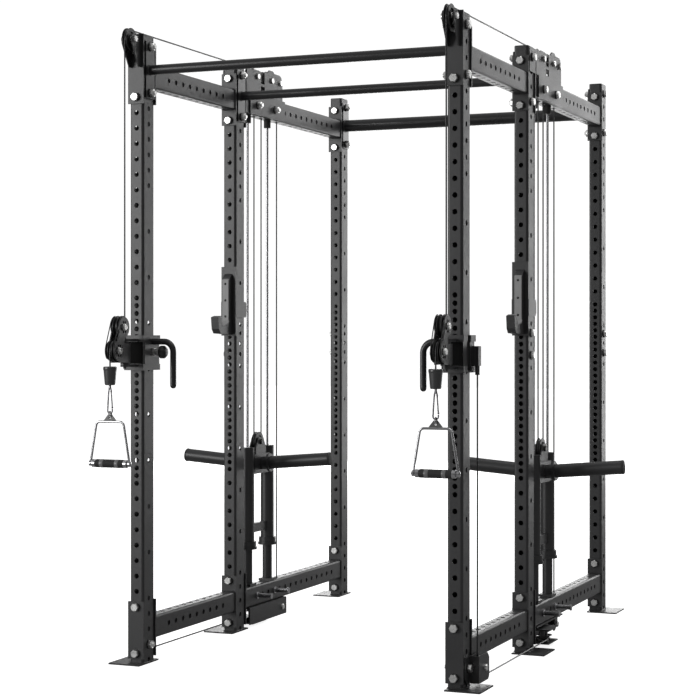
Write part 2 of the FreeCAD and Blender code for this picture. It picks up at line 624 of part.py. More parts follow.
# ---- trolley on the front upright ----
def trolley_sleeve():
    """The box round the upright as four walls, with thicker rims and a channel up its outer side."""
    z0, z1 = TROLLEY_Z
    half, rim, gap = TUBE_W / 2 + 7.5, 20.0, 1.2
    front, back = -16.0, TUBE_D + 16
    body = block(POST_X - half, POST_X + half, front, back, z0, z1)
    body = body.fuse([block(POST_X - half - 3.5, POST_X + half + 3.5, front - 4, back + 4, z0, z0 + rim),
                      block(POST_X - half - 3.5, POST_X + half + 3.5, front - 4, back + 4, z1 - rim, z1),
                      block(POST_X - half - 8, POST_X - half, front, back - 10, z0 + rim, z1 - rim)])
    body = body.cut(block(INNER - gap, OUTER + gap, -gap, TUBE_D + gap, z0 - 1, z1 + 1))
    body = body.cut(block(OUTER + 3, OUTER + 20, 17, 48, z0 + 6, z1 + 1))
    walls = [block(400, 700, -60, -gap, z0, z1), block(400, 700, TUBE_D + gap, 160, z0, z1),
             block(400, INNER - gap, -gap, TUBE_D + gap, z0, z1),
             block(OUTER + gap, 700, -gap, TUBE_D + gap, z0, z1)]
    return [solid for wall in walls for solid in body.common(wall).Solids]


def trolley_grip(start):
    """The bent pull handle, welded to the sleeve's inner side, as a run, a bend and a drop."""
    radius, bend, low = 10.0, 34.0, 909.0
    x, y, z = POST_X - 116, start.y, start.z
    corner_in, corner_out = at(x + bend, y, z), at(x, y, z - bend)
    k = bend * (1 - math.sqrt(0.5))
    elbow = cable([("arc", corner_in, at(x + k, y, z - k), corner_out)], radius)
    end = at(x, y, low + radius)
    drop = fuse([rod(radius, end, corner_out), Part.makeSphere(radius, end)])
    return [rod(radius, corner_in, start), elbow, drop]


def trolley():
    z0, z1 = TROLLEY_Z
    half, rim = TUBE_W / 2 + 7.5, 20.0
    ears = []
    for low, high in ((z0 + rim - 8, z0 + rim), (z1 - rim, z1 - rim + 8)):
        ears.append(block(POST_X - 14, POST_X + 14, FALL_Y, -15, low, high).fuse(
            rod(14, at(POST_X, FALL_Y, low), at(POST_X, FALL_Y, high))).removeSplitter())
    pivot = rod(5, at(POST_X, FALL_Y, z0 + rim - 14), at(POST_X, FALL_Y, z1 - rim + 12))
    lug = block(OUTER + 7.5, LOW_X + 8, TUBE_D - 6, TUBE_D + 20, z0 + rim, z1 - 34)
    fall = at(LOW_X, LOW_FALL_Y, z0 + rim)
    terminal = rod(7, fall - at(0, 0, 28), fall)
    grip = trolley_grip(at(POST_X - half + 2, TUBE_D / 2, z1 - rim - 1))
    bore = rod(6.1, at(POST_X - half - 20, TUBE_D / 2, TROLLEY_PIN_Z), at(INNER, TUBE_D / 2, TROLLEY_PIN_Z))
    members = welded([pivot] + trolley_sleeve() + ears + [lug, terminal] + grip)
    return [solid for part in members for solid in part.cut(bore).Solids]


def pop_pin():
    """Fluted knob and spring pin; the pin ends 1 mm short of the upright's side."""
    y, z = TUBE_D / 2, TROLLEY_PIN_Z
    face = POST_X - TUBE_W / 2 - 15.5
    knob = fuse([Part.makeCone(15, 22, 8, at(face - 50, y, z), at(1, 0, 0)),
                 rod(22, at(face - 42, y, z), at(face - 27, y, z)),
                 rod(13, at(face - 27, y, z), at(face - 0.5, y, z))])
    flutes = [rod(4, at(face - 52, y + 24.5 * math.cos(a), z + 24.5 * math.sin(a)),
                  at(face - 29, y + 24.5 * math.cos(a), z + 24.5 * math.sin(a)))
              for a in [math.radians(30 * k) for k in range(12)]]
    return knob.cut(flutes).fuse(rod(6.0, at(face - 1, y, z), at(INNER - 1, y, z))).removeSplitter()


def disc_hull(a, b, radius, x0, x1):
    """Two round ends and the band between them, as one plate."""
    dy, dz = b[0] - a[0], b[1] - a[1]
    length = math.hypot(dy, dz)
    ny, nz = -dz / length * radius, dy / length * radius
    band = side_plate([(a[0] + ny, a[1] + nz), (b[0] + ny, b[1] + nz),
                       (b[0] - ny, b[1] - nz), (a[0] - ny, a[1] - nz)], x0, x1)
    ends = [rod(radius, at(x0, c[0], c[1]), at(x1, c[0], c[1])) for c in (a, b)]
    return fuse([band] + ends)


def swivel_block():
    """Two side plates with a ring of holes round each axle, on a hub that turns on the pivot."""
    plates = []
    z0, z1 = TROLLEY_Z[0] + 26, TROLLEY_Z[1] - 26
    for x0 in (POST_X - BLOCK_HALF, POST_X + BLOCK_HALF - 4):
        x1 = x0 + 4
        parts = [rod(33, at(x0, c[0], c[1]), at(x1, c[0], c[1])) for c in (BLOCK_UPPER, BLOCK_LOWER)]
        parts.append(disc_hull(BLOCK_UPPER, BLOCK_LOWER, 20, x0, x1))
        parts.append(block(x0, x1, BLOCK_LOWER[0], FALL_Y + 10, z0, z1))
        plate = fuse(parts)
        holes = []
        for cy, cz in (BLOCK_UPPER, BLOCK_LOWER):
            for k in range(8):
                a = math.radians(45 * k + 22.5)
                y, z = cy + 17 * math.cos(a), cz + 17 * math.sin(a)
                holes.append(rod(4.4, at(x0 - 1, y, z), at(x1 + 1, y, z)))
        plates.append(plate.cut(holes))
    hub = rod(14, at(POST_X, FALL_Y, TROLLEY_Z[0] + 20.6), at(POST_X, FALL_Y, TROLLEY_Z[1] - 20.6))
    axles = []
    for cy, cz in (BLOCK_UPPER, BLOCK_LOWER):
        parts = [rod(AXLE_R, at(POST_X - BLOCK_HALF, cy, cz), at(POST_X + BLOCK_HALF, cy, cz))]
        for side in (-1, 1):
            for near, far in ((PULLEY_W / 2 + 0.6, BLOCK_HALF - 4), (BLOCK_HALF, BLOCK_HALF + 5)):
                parts.append(rod(9, at(POST_X + side * near, cy, cz), at(POST_X + side * far, cy, cz)))
        axles.append(fuse(parts))
    hub = hub.cut(rod(5 + RUN, at(POST_X, FALL_Y, 900), at(POST_X, FALL_Y, 1200)))
    return welded([hub] + axles + plates)


# ---- handle ----
def cable_end():
    z0, z1 = STOPPER_Z
    x, y = POST_X, HANDLE_Y
    cone = Part.makeCone(16.5, STOPPER_R, z1 - z0, at(x, y, z0), at(0, 0, 1))
    loop_r, wire = 8.0, 3.0
    low, high = 842.0, 908.0
    loop = [rod(wire, at(x + s * loop_r, y, low), at(x + s * loop_r, y, high)) for s in (-1, 1)]
    lower = Part.makeTorus(loop_r, wire, at(x, y, low), at(0, 1, 0))
    upper = Part.makeTorus(loop_r, wire, at(x, y, high), at(0, 1, 0))
    lower = lower.cut(block(x - 20, x + 20, y - 20, y + 20, low, low + 30))
    upper = upper.cut(block(x - 20, x + 20, y - 20, y + 20, high - 30, high))
    stem = rod(4.5, at(x, y, high + loop_r), at(x, y, z0))
    link = Part.makeTorus(10.0, 2.0, at(x, y, 830.0), at(1, 0, 0))
    return welded([cone] + loop + [lower, upper, stem]) + [link]


def handle_frame():
    x, y, wire = POST_X, HANDLE_Y, 4.0
    top, low = HANDLE_TOP_Z, GRIP_Z
    corners = [at(x - 49, y, top), at(x + 49, y, top), at(x + 71, y, low), at(x - 71, y, low)]
    parts = [rod(wire, corners[0], corners[1]), rod(wire, corners[1], corners[2]),
             rod(wire, corners[0], corners[3]), rod(AXLE_R, corners[3], corners[2])]
    parts += [Part.makeSphere(wire, corners[k]) for k in (0, 1)]
    parts += [rod(9, corners[k] - at(4, 0, 0), corners[k] + at(4, 0, 0)) for k in (2, 3)]
    eye = Part.Face(Part.makePolygon([at(x - 25.5, y - 2, top), at(x + 25.5, y - 2, top),
                                      at(x + 6, y - 2, top + 24), at(x - 6, y - 2, top + 24),
                                      at(x - 25.5, y - 2, top)])).extrude(at(0, 4, 0))
    hole = rod(4.0, at(x, y - 5, top + 13), at(x, y + 5, top + 13))
    return welded(parts + [eye.cut(hole)])


def handle_grip():
    x, y, z = POST_X, HANDLE_Y, GRIP_Z
    reach = 64.0
    parts = [rod(GRIP_R - 1, at(x - reach, y, z), at(x + reach, y, z))]
    parts.append(rod(GRIP_R, at(x - 28, y, z), at(x + 28, y, z)))
    for side in (-1, 1):
        for place in (33, 47, 59):
            parts.append(rod(GRIP_R, at(x + side * place - 4, y, z), at(x + side * place + 4, y, z)))
    return fuse(parts).cut(rod(AXLE_R + RUN, at(x - 80, y, z), at(x + 80, y, z)))


# ---- J-cup on the middle upright ----
def j_cup():
    """Back plate, stem, shelf and lip, with two arms that grip the upright's sides and a pin."""
    face = POST_Y[1] - 0.4
    z0, z1 = CUP_Z
    seat = face - 8
    back = block(POST_X - 29, POST_X + 29, seat, face, z0, z1)
    stem = [(seat, z1 - 26), (seat - 22, z1 - 44), (seat - 22, z0 + 52), (seat - 30, z0 + 40),
            (seat, z0 + 40)]
    shelf = [(seat, z0 + 40), (seat - 30, z0 + 40), (seat - 72, z0 + 34), (seat - 92, z0 + 8),
             (seat, z0 + 4)]
    lip = [(seat - 72, z0 + 34), (seat - 82, z0 + 44), (seat - 94, z0 + 70), (seat - 112, z0 + 66),
           (seat - 106, z0 + 24), (seat - 92, z0 + 8)]
    parts = [back] + [side_plate(outline, POST_X - 15, POST_X + 15) for outline in (stem, shelf, lip)]
    wrap_low, wrap_high, reach = z0 + 67, z0 + 124, face + 82
    arm = [(face, wrap_low), (face, wrap_high), (reach - 10, wrap_high), (reach, wrap_high - 12),
           (reach, wrap_low + 12), (reach - 10, wrap_low)]
    for x0 in (INNER - 5.4, OUTER + 0.4):
        parts.append(side_plate(arm, x0, x0 + 5))
        parts.append(block(x0, x0 + 5, seat, face, wrap_low, wrap_high))
    parts.append(rod(8.0, at(POST_X, face, CUP_PIN_Z), at(POST_X, face + 22, CUP_PIN_Z)))
    return welded(parts)


def build():
    os.makedirs("parts", exist_ok=True)
    names = ("front", "middle", "rear")
    for name, front_face, radius in zip(names, POST_Y, BAR_R):
        post = upright(front_face)
        export_pair("uprights_" + name, [post])
        export("pull_up_bar_" + name, pull_up_bar(front_face, radius))
    spans = ((POST_Y[0] + TUBE_D, POST_Y[1]), (POST_Y[1] + TUBE_D, POST_Y[2]))
    low_rear = side_beam(spans[1][0], spans[1][1], BEAM_Z[0], [(REAR_FALL_Y, 10)])
    cuts = [(CARRIAGE_Y - PITCH_R, 10), (CARRIAGE_Y + PITCH_R, 10), (REAR_FALL_Y, 10)]
    high_rear = side_beam(spans[1][0], spans[1][1], BEAM_Z[1], cuts)
    high_rear = bored_all(high_rear, HIGH_BOLTS, INNER, OUTER, HOLE_R)
    pegs = (HIGH_BOLTS[0][0] + 2, HIGH_BOLTS[1][0] + 2)
    low_rear = bored_all(low_rear, [(y, BEAM_Z[0]) for y in pegs], INNER, OUTER, HOLE_R)
    export_pair("lower_side_beams", side_beam(spans[0][0], spans[0][1], BEAM_Z[0], []) + low_rear)
    export_pair("upper_side_beams", side_beam(spans[0][0], spans[0][1], BEAM_Z[1], []) + high_rear)
    export_pair("foot_plates", [foot_plate(y) for y in POST_Y])
    export_pair("backing_plates", [end_plate(-PLATE_T, BEAM_Z[0], bolt_heights(BEAM_Z[0]))])

    bolts, nuts = frame_fasteners()
    x_plates = (INNER - HIGH_PLATE_T, OUTER + HIGH_PLATE_T)
    for y, z in HIGH_BOLTS:
        bolts.append(bolt(at(x_plates[1], y, z), at(x_plates[0] - 20, y, z)))
        nuts.append(nut(at(x_plates[0], y, z), at(-1, 0, 0)))
    z = LOW_SIDE_HOLE + PITCH
    bolts.append(bolt(at(OUTER + 5, TUBE_D / 2, z), at(INNER - 20, TUBE_D / 2, z)))
    nuts.append(nut(at(INNER, TUBE_D / 2, z), at(-1, 0, 0)))
    for y in (HIGH_FRONT_Y, HIGH_MIDDLE_Y, HIGH_REAR_Y):
        bolts.append(axle(x_plates[0], x_plates[1], (y, TOP_Z), POST_X))
    reach, top_reach = CHEEK + CHEEK_T, TOP_CHEEK + CHEEK_T
    bolts.append(axle(POST_X - top_reach, POST_X + top_reach, (TOP_PULLEY_Y, TOP_Z), POST_X))
    bolts.append(axle(OUTER + 5, LOW_X + reach, LOW_FRONT, LOW_X, 0))
    bolts.append(axle(INNER - 8, POST_X + reach, LOW_REAR, POST_X))
    export_pair("frame_bolts", bolts)
    export_pair("frame_nuts", nuts)

    export_pair("top_pulley_brackets", top_pulley_bracket())
    export_pair("high_pulley_plates", [high_plate(x_plates[0], False), high_plate(OUTER, True)])
    export_pair("low_front_housings", low_front_housing())
    export_pair("low_rear_channels", rear_channel())
    export_pair("low_rear_idlers", [idler(x, y) for x, y in idler_centres()])
    export_pair("guide_rods", [guide_rod(y) for y in rod_places()])
    export_pair("stop_tubes", [part for y in rod_places() for part in stop_tube(y)])
    export_pair("rod_bumpers", [rod_bumper(y) for y in rod_places()])
    export_pair("band_pegs", [band_peg(y) for y in pegs])
    export_pair("fixed_cables", fixed_cables())
    fixed_pulleys = (("top_pulleys", POST_X, (TOP_PULLEY_Y, TOP_Z)),
                     ("high_front_pulleys", POST_X, (HIGH_FRONT_Y, TOP_Z)),
                     ("high_middle_pulleys", POST_X, (HIGH_MIDDLE_Y, TOP_Z)),
                     ("high_rear_pulleys", POST_X, (HIGH_REAR_Y, TOP_Z)),
                     ("low_front_pulleys", LOW_X, LOW_FRONT))
    for name, x, centre in fixed_pulleys:
        export_pair(name, [pulley(x, centre)])
    export_pair("low_rear_pulleys", [pulley(POST_X, LOW_REAR, SMALL_PITCH_R)])

    export_sides("carriage", carriage())
    export_sides("carriage_pulley", [pulley(POST_X, (CARRIAGE_Y, CARRIAGE_PULLEY_Z))])
    export_sides("carriage_cable", [carriage_cable()])
    export_sides("trolley", trolley())
    export_sides("pop_pin", [pop_pin()])
    export_sides("swivel_block", swivel_block())
    export_sides("block_pulley_upper", [pulley(POST_X, BLOCK_UPPER)])
    export_sides("block_pulley_lower", [pulley(POST_X, BLOCK_LOWER)])
    front_fall = cable([("line", at(POST_X, FALL_Y, TOP_Z), at(POST_X, FALL_Y, BLOCK_UPPER[1]))])
    export_sides("front_fall_cable", [front_fall])
    terminal_z = TROLLEY_Z[0] + 20 - 28
    low_fall = cable([("line", at(LOW_X, LOW_FALL_Y, LOW_FRONT[1]), at(LOW_X, LOW_FALL_Y, terminal_z))])
    export_sides("trolley_fall_cable", [low_fall])
    export_sides("block_cable", [block_cable()])
    handle_fall = cable([("line", at(POST_X, HANDLE_Y, BLOCK_LOWER[1]), at(POST_X, HANDLE_Y, STOPPER_Z[1]))])
    export_sides("handle_cable", [handle_fall])
    export_sides("cable_end", cable_end())
    export_sides("handle_frame", handle_frame())
    export_sides("handle_grip", [handle_grip()])
    export_sides("j_cup", j_cup())
    print("cable arc radii: %.1f mm round every pulley, but %.1f mm round the low rear pulleys and "
          "the idlers" % (PITCH_R, SMALL_PITCH_R))


build()
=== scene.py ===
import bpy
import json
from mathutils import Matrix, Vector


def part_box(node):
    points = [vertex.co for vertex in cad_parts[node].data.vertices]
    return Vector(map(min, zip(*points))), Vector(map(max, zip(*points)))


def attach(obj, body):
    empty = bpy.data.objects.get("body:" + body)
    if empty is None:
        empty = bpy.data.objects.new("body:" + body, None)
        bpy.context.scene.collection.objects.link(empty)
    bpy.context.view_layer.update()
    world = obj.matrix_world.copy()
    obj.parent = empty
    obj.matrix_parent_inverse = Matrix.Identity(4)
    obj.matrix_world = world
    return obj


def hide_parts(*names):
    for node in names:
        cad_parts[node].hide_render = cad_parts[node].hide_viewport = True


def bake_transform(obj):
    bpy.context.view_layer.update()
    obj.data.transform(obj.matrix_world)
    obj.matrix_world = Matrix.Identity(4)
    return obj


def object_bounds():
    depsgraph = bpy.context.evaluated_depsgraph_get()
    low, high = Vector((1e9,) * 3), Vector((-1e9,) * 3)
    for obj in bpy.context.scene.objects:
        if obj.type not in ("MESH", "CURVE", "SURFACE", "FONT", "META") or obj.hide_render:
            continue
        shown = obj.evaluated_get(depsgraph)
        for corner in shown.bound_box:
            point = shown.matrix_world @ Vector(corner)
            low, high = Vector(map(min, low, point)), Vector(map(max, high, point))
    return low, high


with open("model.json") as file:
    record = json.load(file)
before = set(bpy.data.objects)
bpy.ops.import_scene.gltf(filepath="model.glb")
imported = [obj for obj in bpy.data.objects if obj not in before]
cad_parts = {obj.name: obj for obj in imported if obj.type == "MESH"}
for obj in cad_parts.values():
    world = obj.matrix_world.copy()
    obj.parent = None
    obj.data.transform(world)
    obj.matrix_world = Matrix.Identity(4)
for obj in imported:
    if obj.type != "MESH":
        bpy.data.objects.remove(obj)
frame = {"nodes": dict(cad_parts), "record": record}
cad_box = [list(corner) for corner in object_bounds()]

import json
import math
import random

import bmesh
import bpy
from mathutils import Matrix, Vector

random.seed(11)
SIDES = (("right", 1), ("left", -1))
X, Y, Z = Vector((1, 0, 0)), Vector((0, 1, 0)), Vector((0, 0, 1))

# ---- places, from the frame ----
TUBE_W, TUBE_D = 0.050, 0.075
POSTS = [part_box("uprights_" + name) for name in ("front", "middle", "rear")]
POST_X = POSTS[0][1].x - TUBE_W / 2
FRONT = POSTS[0][0].y
POST_TOP = POSTS[0][1].z


def at(x, y, z):
    """A place in millimetres: x from the middle of the cage, y from the front uprights' front faces."""
    return Vector((x / 1000, FRONT + y / 1000, z / 1000))


# ---- materials ----
def material(name, colour, rough, metallic=0.0, grain=900.0, grain_depth=0.0001, cloud=7.0,
             colour_spread=0.10, rough_spread=0.06, specular=0.5, coat=0.0):
    """Principled surface with a fine grain bump and slow colour and gloss changes."""
    mat = bpy.data.materials.new(name)
    mat.use_nodes = True
    nodes, links = mat.node_tree.nodes, mat.node_tree.links
    shader = nodes["Principled BSDF"]
    shader.inputs["Metallic"].default_value = metallic
    shader.inputs["Specular IOR Level"].default_value = specular
    shader.inputs["Coat Weight"].default_value = coat
    shader.inputs["Coat Roughness"].default_value = 0.25
    place = nodes.new("ShaderNodeTexCoord")

    slow = nodes.new("ShaderNodeTexNoise")
    slow.inputs["Scale"].default_value = cloud
    slow.inputs["Detail"].default_value = 5.0
    links.new(place.outputs["Object"], slow.inputs["Vector"])
    tint = nodes.new("ShaderNodeValToRGB")
    low, high = tint.color_ramp.elements
    low.position, high.position = 0.3, 0.72
    low.color = [c * (1 - colour_spread) for c in colour] + [1]
    high.color = [c * (1 + colour_spread) for c in colour] + [1]
    links.new(slow.outputs["Fac"], tint.inputs["Fac"])
    links.new(tint.outputs["Color"], shader.inputs["Base Color"])

    gloss = nodes.new("ShaderNodeMapRange")
    gloss.inputs["To Min"].default_value = rough - rough_spread
    gloss.inputs["To Max"].default_value = rough + rough_spread
    links.new(slow.outputs["Fac"], gloss.inputs["Value"])
    links.new(gloss.outputs["Result"], shader.inputs["Roughness"])

    fine = nodes.new("ShaderNodeTexNoise")
    fine.inputs["Scale"].default_value = grain
    fine.inputs["Detail"].default_value = 3.0
    links.new(place.outputs["Object"], fine.inputs["Vector"])
    bump = nodes.new("ShaderNodeBump")
    bump.inputs["Strength"].default_value = 0.5
    bump.inputs["Distance"].default_value = grain_depth
    links.new(fine.outputs["Fac"], bump.inputs["Height"])
    links.new(bump.outputs["Normal"], shader.inputs["Normal"])
    return mat


def twisted(mat, pitch):
    """Adds the faint lay of the wire strands that shows through a cable's sheath."""
    nodes, links = mat.node_tree.nodes, mat.node_tree.links
    place = nodes.new("ShaderNodeTexCoord")
    strands = nodes.new("ShaderNodeTexWave")
    strands.wave_type = "BANDS"
    strands.bands_direction = "DIAGONAL"
    strands.inputs["Scale"].default_value = 0.3 / pitch
    links.new(place.outputs["Object"], strands.inputs["Vector"])
    lay = nodes.new("ShaderNodeBump")
    lay.inputs["Strength"].default_value = 0.4
    lay.inputs["Distance"].default_value = 0.0003
    links.new(strands.outputs["Fac"], lay.inputs["Height"])
    grain = next(n for n in nodes if n.bl_idname == "ShaderNodeBump" and n != lay)
    links.new(lay.outputs["Normal"], grain.inputs["Normal"])
    return mat


MAT = {
    "powder_coat_black": material("powder_coat", (0.021, 0.021, 0.022), 0.40, specular=0.62, grain=1300,
                                  grain_depth=0.00025),
    "bar_black": material("satin_black_bar", (0.016, 0.016, 0.017), 0.29, grain=1800, grain_depth=0.00008),
    "zinc_fastener": material("zinc_plate", (0.80, 0.80, 0.79), 0.28, 1.0, grain=700, cloud=60),
    "rod_steel": material("ground_rod", (0.42, 0.42, 0.43), 0.24, 1.0, grain=2500, grain_depth=0.00005),
    "chrome_steel": material("polished_chrome", (0.45, 0.45, 0.46), 0.12, 1.0, grain=400,
                             grain_depth=0.00002, rough_spread=0.03),
    "nylon_black": material("black_nylon", (0.012, 0.012, 0.012), 0.40, grain=1100, cloud=30),
    "rubber_black": material("black_rubber", (0.016, 0.016, 0.016), 0.66, grain=1500, grain_depth=0.0003,
                             cloud=25),
    "cable_black": twisted(material("sheathed_cable", (0.016, 0.016, 0.017), 0.34, coat=0.2), 0.006),
    "washer_black": material("black_washer", (0.012, 0.012, 0.012), 0.42),
    "stopper_black": material("stopper_plastic", (0.026, 0.026, 0.027), 0.34, grain_depth=0.00006,
                              rough_spread=0.04, specular=0.7, coat=0.4),
    # painted shade: a near-black, dull colour that stands in for the shadow in the trolley's hollow front
    "painted_recess_shade": material("painted_recess_shade", (0.003, 0.003, 0.003), 0.75, specular=0.1),
    "hook_steel": material("burnished_hook", (0.26, 0.26, 0.27), 0.22, 1.0, grain_depth=0.00003),
    "eye_steel": material("dull_eye_steel", (0.11, 0.11, 0.11), 0.48, 1.0, grain_depth=0.00005),
    # partly painted highlight: the grip's bands are real, but their lighter grey stands in for the highlights
    # they catch
    "grip_band": material("band_grey_painted_highlight", (0.16, 0.16, 0.16), 0.34),
    "liner_grey": material("liner_plastic", (0.30, 0.30, 0.30), 0.50, grain=600, cloud=40,
                           colour_spread=0.05),
    "weld": material("coated_weld", (0.028, 0.028, 0.029), 0.42, grain=500, grain_depth=0.0006),
}

SLOT_OF = {part["node"]: part["material_slot"] for part in frame["record"]["subparts"]}
for node, obj in frame["nodes"].items():
    obj.data.materials.clear()
    obj.data.materials.append(MAT[SLOT_OF[node]])


# ---- mesh helpers ----
def from_bmesh(name, bm, mat, smooth=35):
    """A linked object from a bmesh, smooth but for edges sharper than the given angle."""
    bmesh.ops.remove_doubles(bm, verts=bm.verts, dist=1e-6)
    bmesh.ops.recalc_face_normals(bm, faces=bm.faces)
    mesh = bpy.data.meshes.new(name)
    bm.to_mesh(mesh)
    bm.free()
    obj = bpy.data.objects.new(name, mesh)
    bpy.context.scene.collection.objects.link(obj)
    mesh.materials.append(MAT[mat])
    for face in mesh.polygons:
        face.use_smooth = True
    mesh.set_sharp_from_angle(angle=math.radians(smooth))
    return obj


def bridge(bm, loops):
    """Quads between each loop of points and the next."""
    for low, high in zip(loops, loops[1:]):
        for k in range(len(low)):
            j = (k + 1) % len(low)
            bm.faces.new((low[k], low[j], high[j], high[k]))


def turn_to(direction, place, spin=0.0):
    """The matrix that stands local +Z along a direction, at a place."""
    turn = direction.normalized().to_track_quat("Z", "Y").to_matrix().to_4x4()
    return Matrix.Translation(place) @ turn @ Matrix.Rotation(spin, 4, "Z")


def add_lathe(bm, profile, matrix, segments=40, lobes=None):
    """Turns a closed (radius, height) outline about local Z; lobes(angle) scales its radius."""
    rings = []
    for k in range(segments):
        angle = 2 * math.pi * k / segments
        scale = lobes(angle) if lobes else 1.0
        rings.append([bm.verts.new(matrix @ Vector((r * scale * math.cos(angle),
                                                    r * scale * math.sin(angle), h)))
                      for r, h in profile])
    count = len(profile)
    for k in range(segments):
        this, following = rings[k], rings[(k + 1) % segments]
        for i in range(count):
            j = (i + 1) % count
            on_axis = [profile[i][0] < 1e-9, profile[j][0] < 1e-9]
            if all(on_axis):
                continue
            if on_axis[0]:
                bm.faces.new((this[i], following[j], this[j]))
            elif on_axis[1]:
                bm.faces.new((this[i], following[i], this[j]))
            else:
                bm.faces.new((this[i], following[i], following[j], this[j]))


def lathe(name, profile, matrix, mat, segments=48, lobes=None):
    bm = bmesh.new()
    add_lathe(bm, profile, matrix, segments, lobes)
    return from_bmesh(name, bm, mat)


def add_hexagon(bm, across, height, matrix, chamfer=0.0015, bore=0.0, segments=36):
    """A hex head or nut from z = 0 to height, chamfered to a round top face."""
    def ring(z, radius=None):
        points = []
        for k in range(segments):
            angle = 2 * math.pi * k / segments
            r = radius or across / 2 / math.cos(angle % (math.pi / 3) - math.pi / 6)
            points.append(bm.verts.new(matrix @ Vector((r * math.cos(angle), r * math.sin(angle), z))))
        return points

    outside = [ring(0), ring(height - chamfer), ring(height, across / 2 * 0.94)]
    bridge(bm, outside)
    if bore:
        bridge(bm, [outside[-1], ring(height - 0.001, bore), ring(0, bore), outside[0]])
    else:
        bm.faces.new(outside[-1])
        bm.faces.new(list(reversed(outside[0])))


def smooth_path(points, bend, steps=7):
    """A list of points with each inner corner rounded by an arc-like curve of the given reach."""
    path = [points[0]]
    for before, corner, after in zip(points, points[1:], points[2:]):
        reach = min(bend, (before - corner).length * 0.49, (after - corner).length * 0.49)
        start = corner + (before - corner).normalized() * reach
        end = corner + (after - corner).normalized() * reach
        for k in range(steps + 1):
            t = k / steps
            path.append(start * (1 - t) ** 2 + corner * 2 * t * (1 - t) + end * t ** 2)
    path.append(points[-1])
    return path


def add_tube(bm, path, radius, sides=16, closed=False):
    """A round tube along points, capped at both ends or closed into a ring."""
    count, rings, frame_x = len(path), [], None
    for i, point in enumerate(path):
        if closed:
            along = (path[(i + 1) % count] - path[i - 1]).normalized()
        else:
            along = (path[min(i + 1, count - 1)] - path[max(i - 1, 0)]).normalized()
        if frame_x is None:
            frame_x = along.orthogonal().normalized()
        frame_x = (frame_x - along * frame_x.dot(along)).normalized()
        frame_y = along.cross(frame_x)
        rings.append([bm.verts.new(point + (frame_x * math.cos(a) + frame_y * math.sin(a)) * radius)
                      for a in (2 * math.pi * k / sides for k in range(sides))])
    bridge(bm, rings)
    if closed:
        low, high = rings[-1], rings[0]
        shift = min(range(sides), key=lambda s: (high[s].co - low[0].co).length)
        for k in range(sides):
            j = (k + 1) % sides
            bm.faces.new((low[k], low[j], high[(j + shift) % sides], high[(k + shift) % sides]))
    else:
        bm.faces.new(list(reversed(rings[0])))
        bm.faces.new(rings[-1])


def tube(name, path, radius, mat, **options):
    bm = bmesh.new()
    add_tube(bm, path, radius, **options)
    return from_bmesh(name, bm, mat)


def add_prism(bm, outline, offset):
    """A closed outline of points pushed along an offset."""
    low = [bm.verts.new(p) for p in outline]
    high = [bm.verts.new(p + offset) for p in outline]
    bm.faces.new(low)
    bm.faces.new(list(reversed(high)))
    for k in range(len(low)):
        j = (k + 1) % len(low)
        bm.faces.new((low[k], high[k], high[j], low[j]))


def bevelled(obj, width, segments=2):
    """Rounds an object's sharp edges with a modifier."""
    edge = obj.modifiers.new("soft_edges", "BEVEL")
    edge.width = width
    edge.segments = segments
    edge.limit_method = "ANGLE"
    edge.angle_limit = math.radians(40)
    edge.harden_normals = True
    return obj


def islands(node):
    """The separate solids of a CAD node, each as a list of its points."""
    mesh = frame["nodes"][node].data
    keys = [tuple(round(c, 5) for c in v.co) for v in mesh.vertices]
    parent = {key: key for key in keys}

    def root(key):
        while parent[key] != key:
            parent[key] = parent[parent[key]]
            key = parent[key]
        return key

    for face in mesh.polygons:
        first = root(keys[face.vertices[0]])
        for v in face.vertices[1:]:
            parent[root(keys[v])] = first
    groups = {}
    for key in parent:
        groups.setdefault(root(key), []).append(Vector(key))
    return [groups[name] for name in sorted(groups)]


def extent(points):
    """The two corners of the box round some points."""
    low = Vector([min(p[i] for p in points) for i in range(3)])
    high = Vector([max(p[i] for p in points) for i in range(3)])
    return low, high


# ---- fasteners ----
BOLT_R, HEAD_AF, WASHER_R, WASHER_T, NUT_T = 0.0079, 0.024, 0.015, 0.003, 0.013
AXLE_AF, AXLE_R, AXLE_HEAD = 0.019, 0.006, 0.007
AXLE_SPREAD = 0.026          # the pulley axles are slimmer than this across, the frame bolts wider


def end_radius(points, centre, way, reach):
    """How far a fastener spreads round its axis just inside one of its ends."""
    near = [p for p in points if (p - centre).dot(way) > reach - 0.0008]
    return max(off_axis(p, centre, way) for p in near)


def threaded(length):
    """Profile of a bolt's shank from its seat down, threaded along its last 24 mm."""
    profile = [(0, 0.0005), (BOLT_R, 0.0005), (BOLT_R, -length + 0.024)]
    turn, depth = 0.002, 0.0008
    z = -length + 0.024
    while z - turn > -length + 0.002:
        profile += [(BOLT_R - depth, z - turn / 2), (BOLT_R, z - turn)]
        z -= turn
    return profile + [(BOLT_R - 0.0015, -length), (0, -length)]


def washer_profile(inner, outer, thick):
    """Outline of a flat ring with softened rims."""
    edge = 0.0004
    return [(inner, 0), (outer - edge, 0), (outer, edge), (outer, thick - edge), (outer - edge, thick),
            (inner, thick)]


def off_axis(point, centre, way):
    """How far a point lies from the line through centre along way."""
    return ((point - centre) - way * (point - centre).dot(way)).length


def axis_way(axis):
    """The unit vector along X, Y or Z, as axis is 0, 1 or 2."""
    return Vector([1.0 if i == axis else 0.0 for i in range(3)])


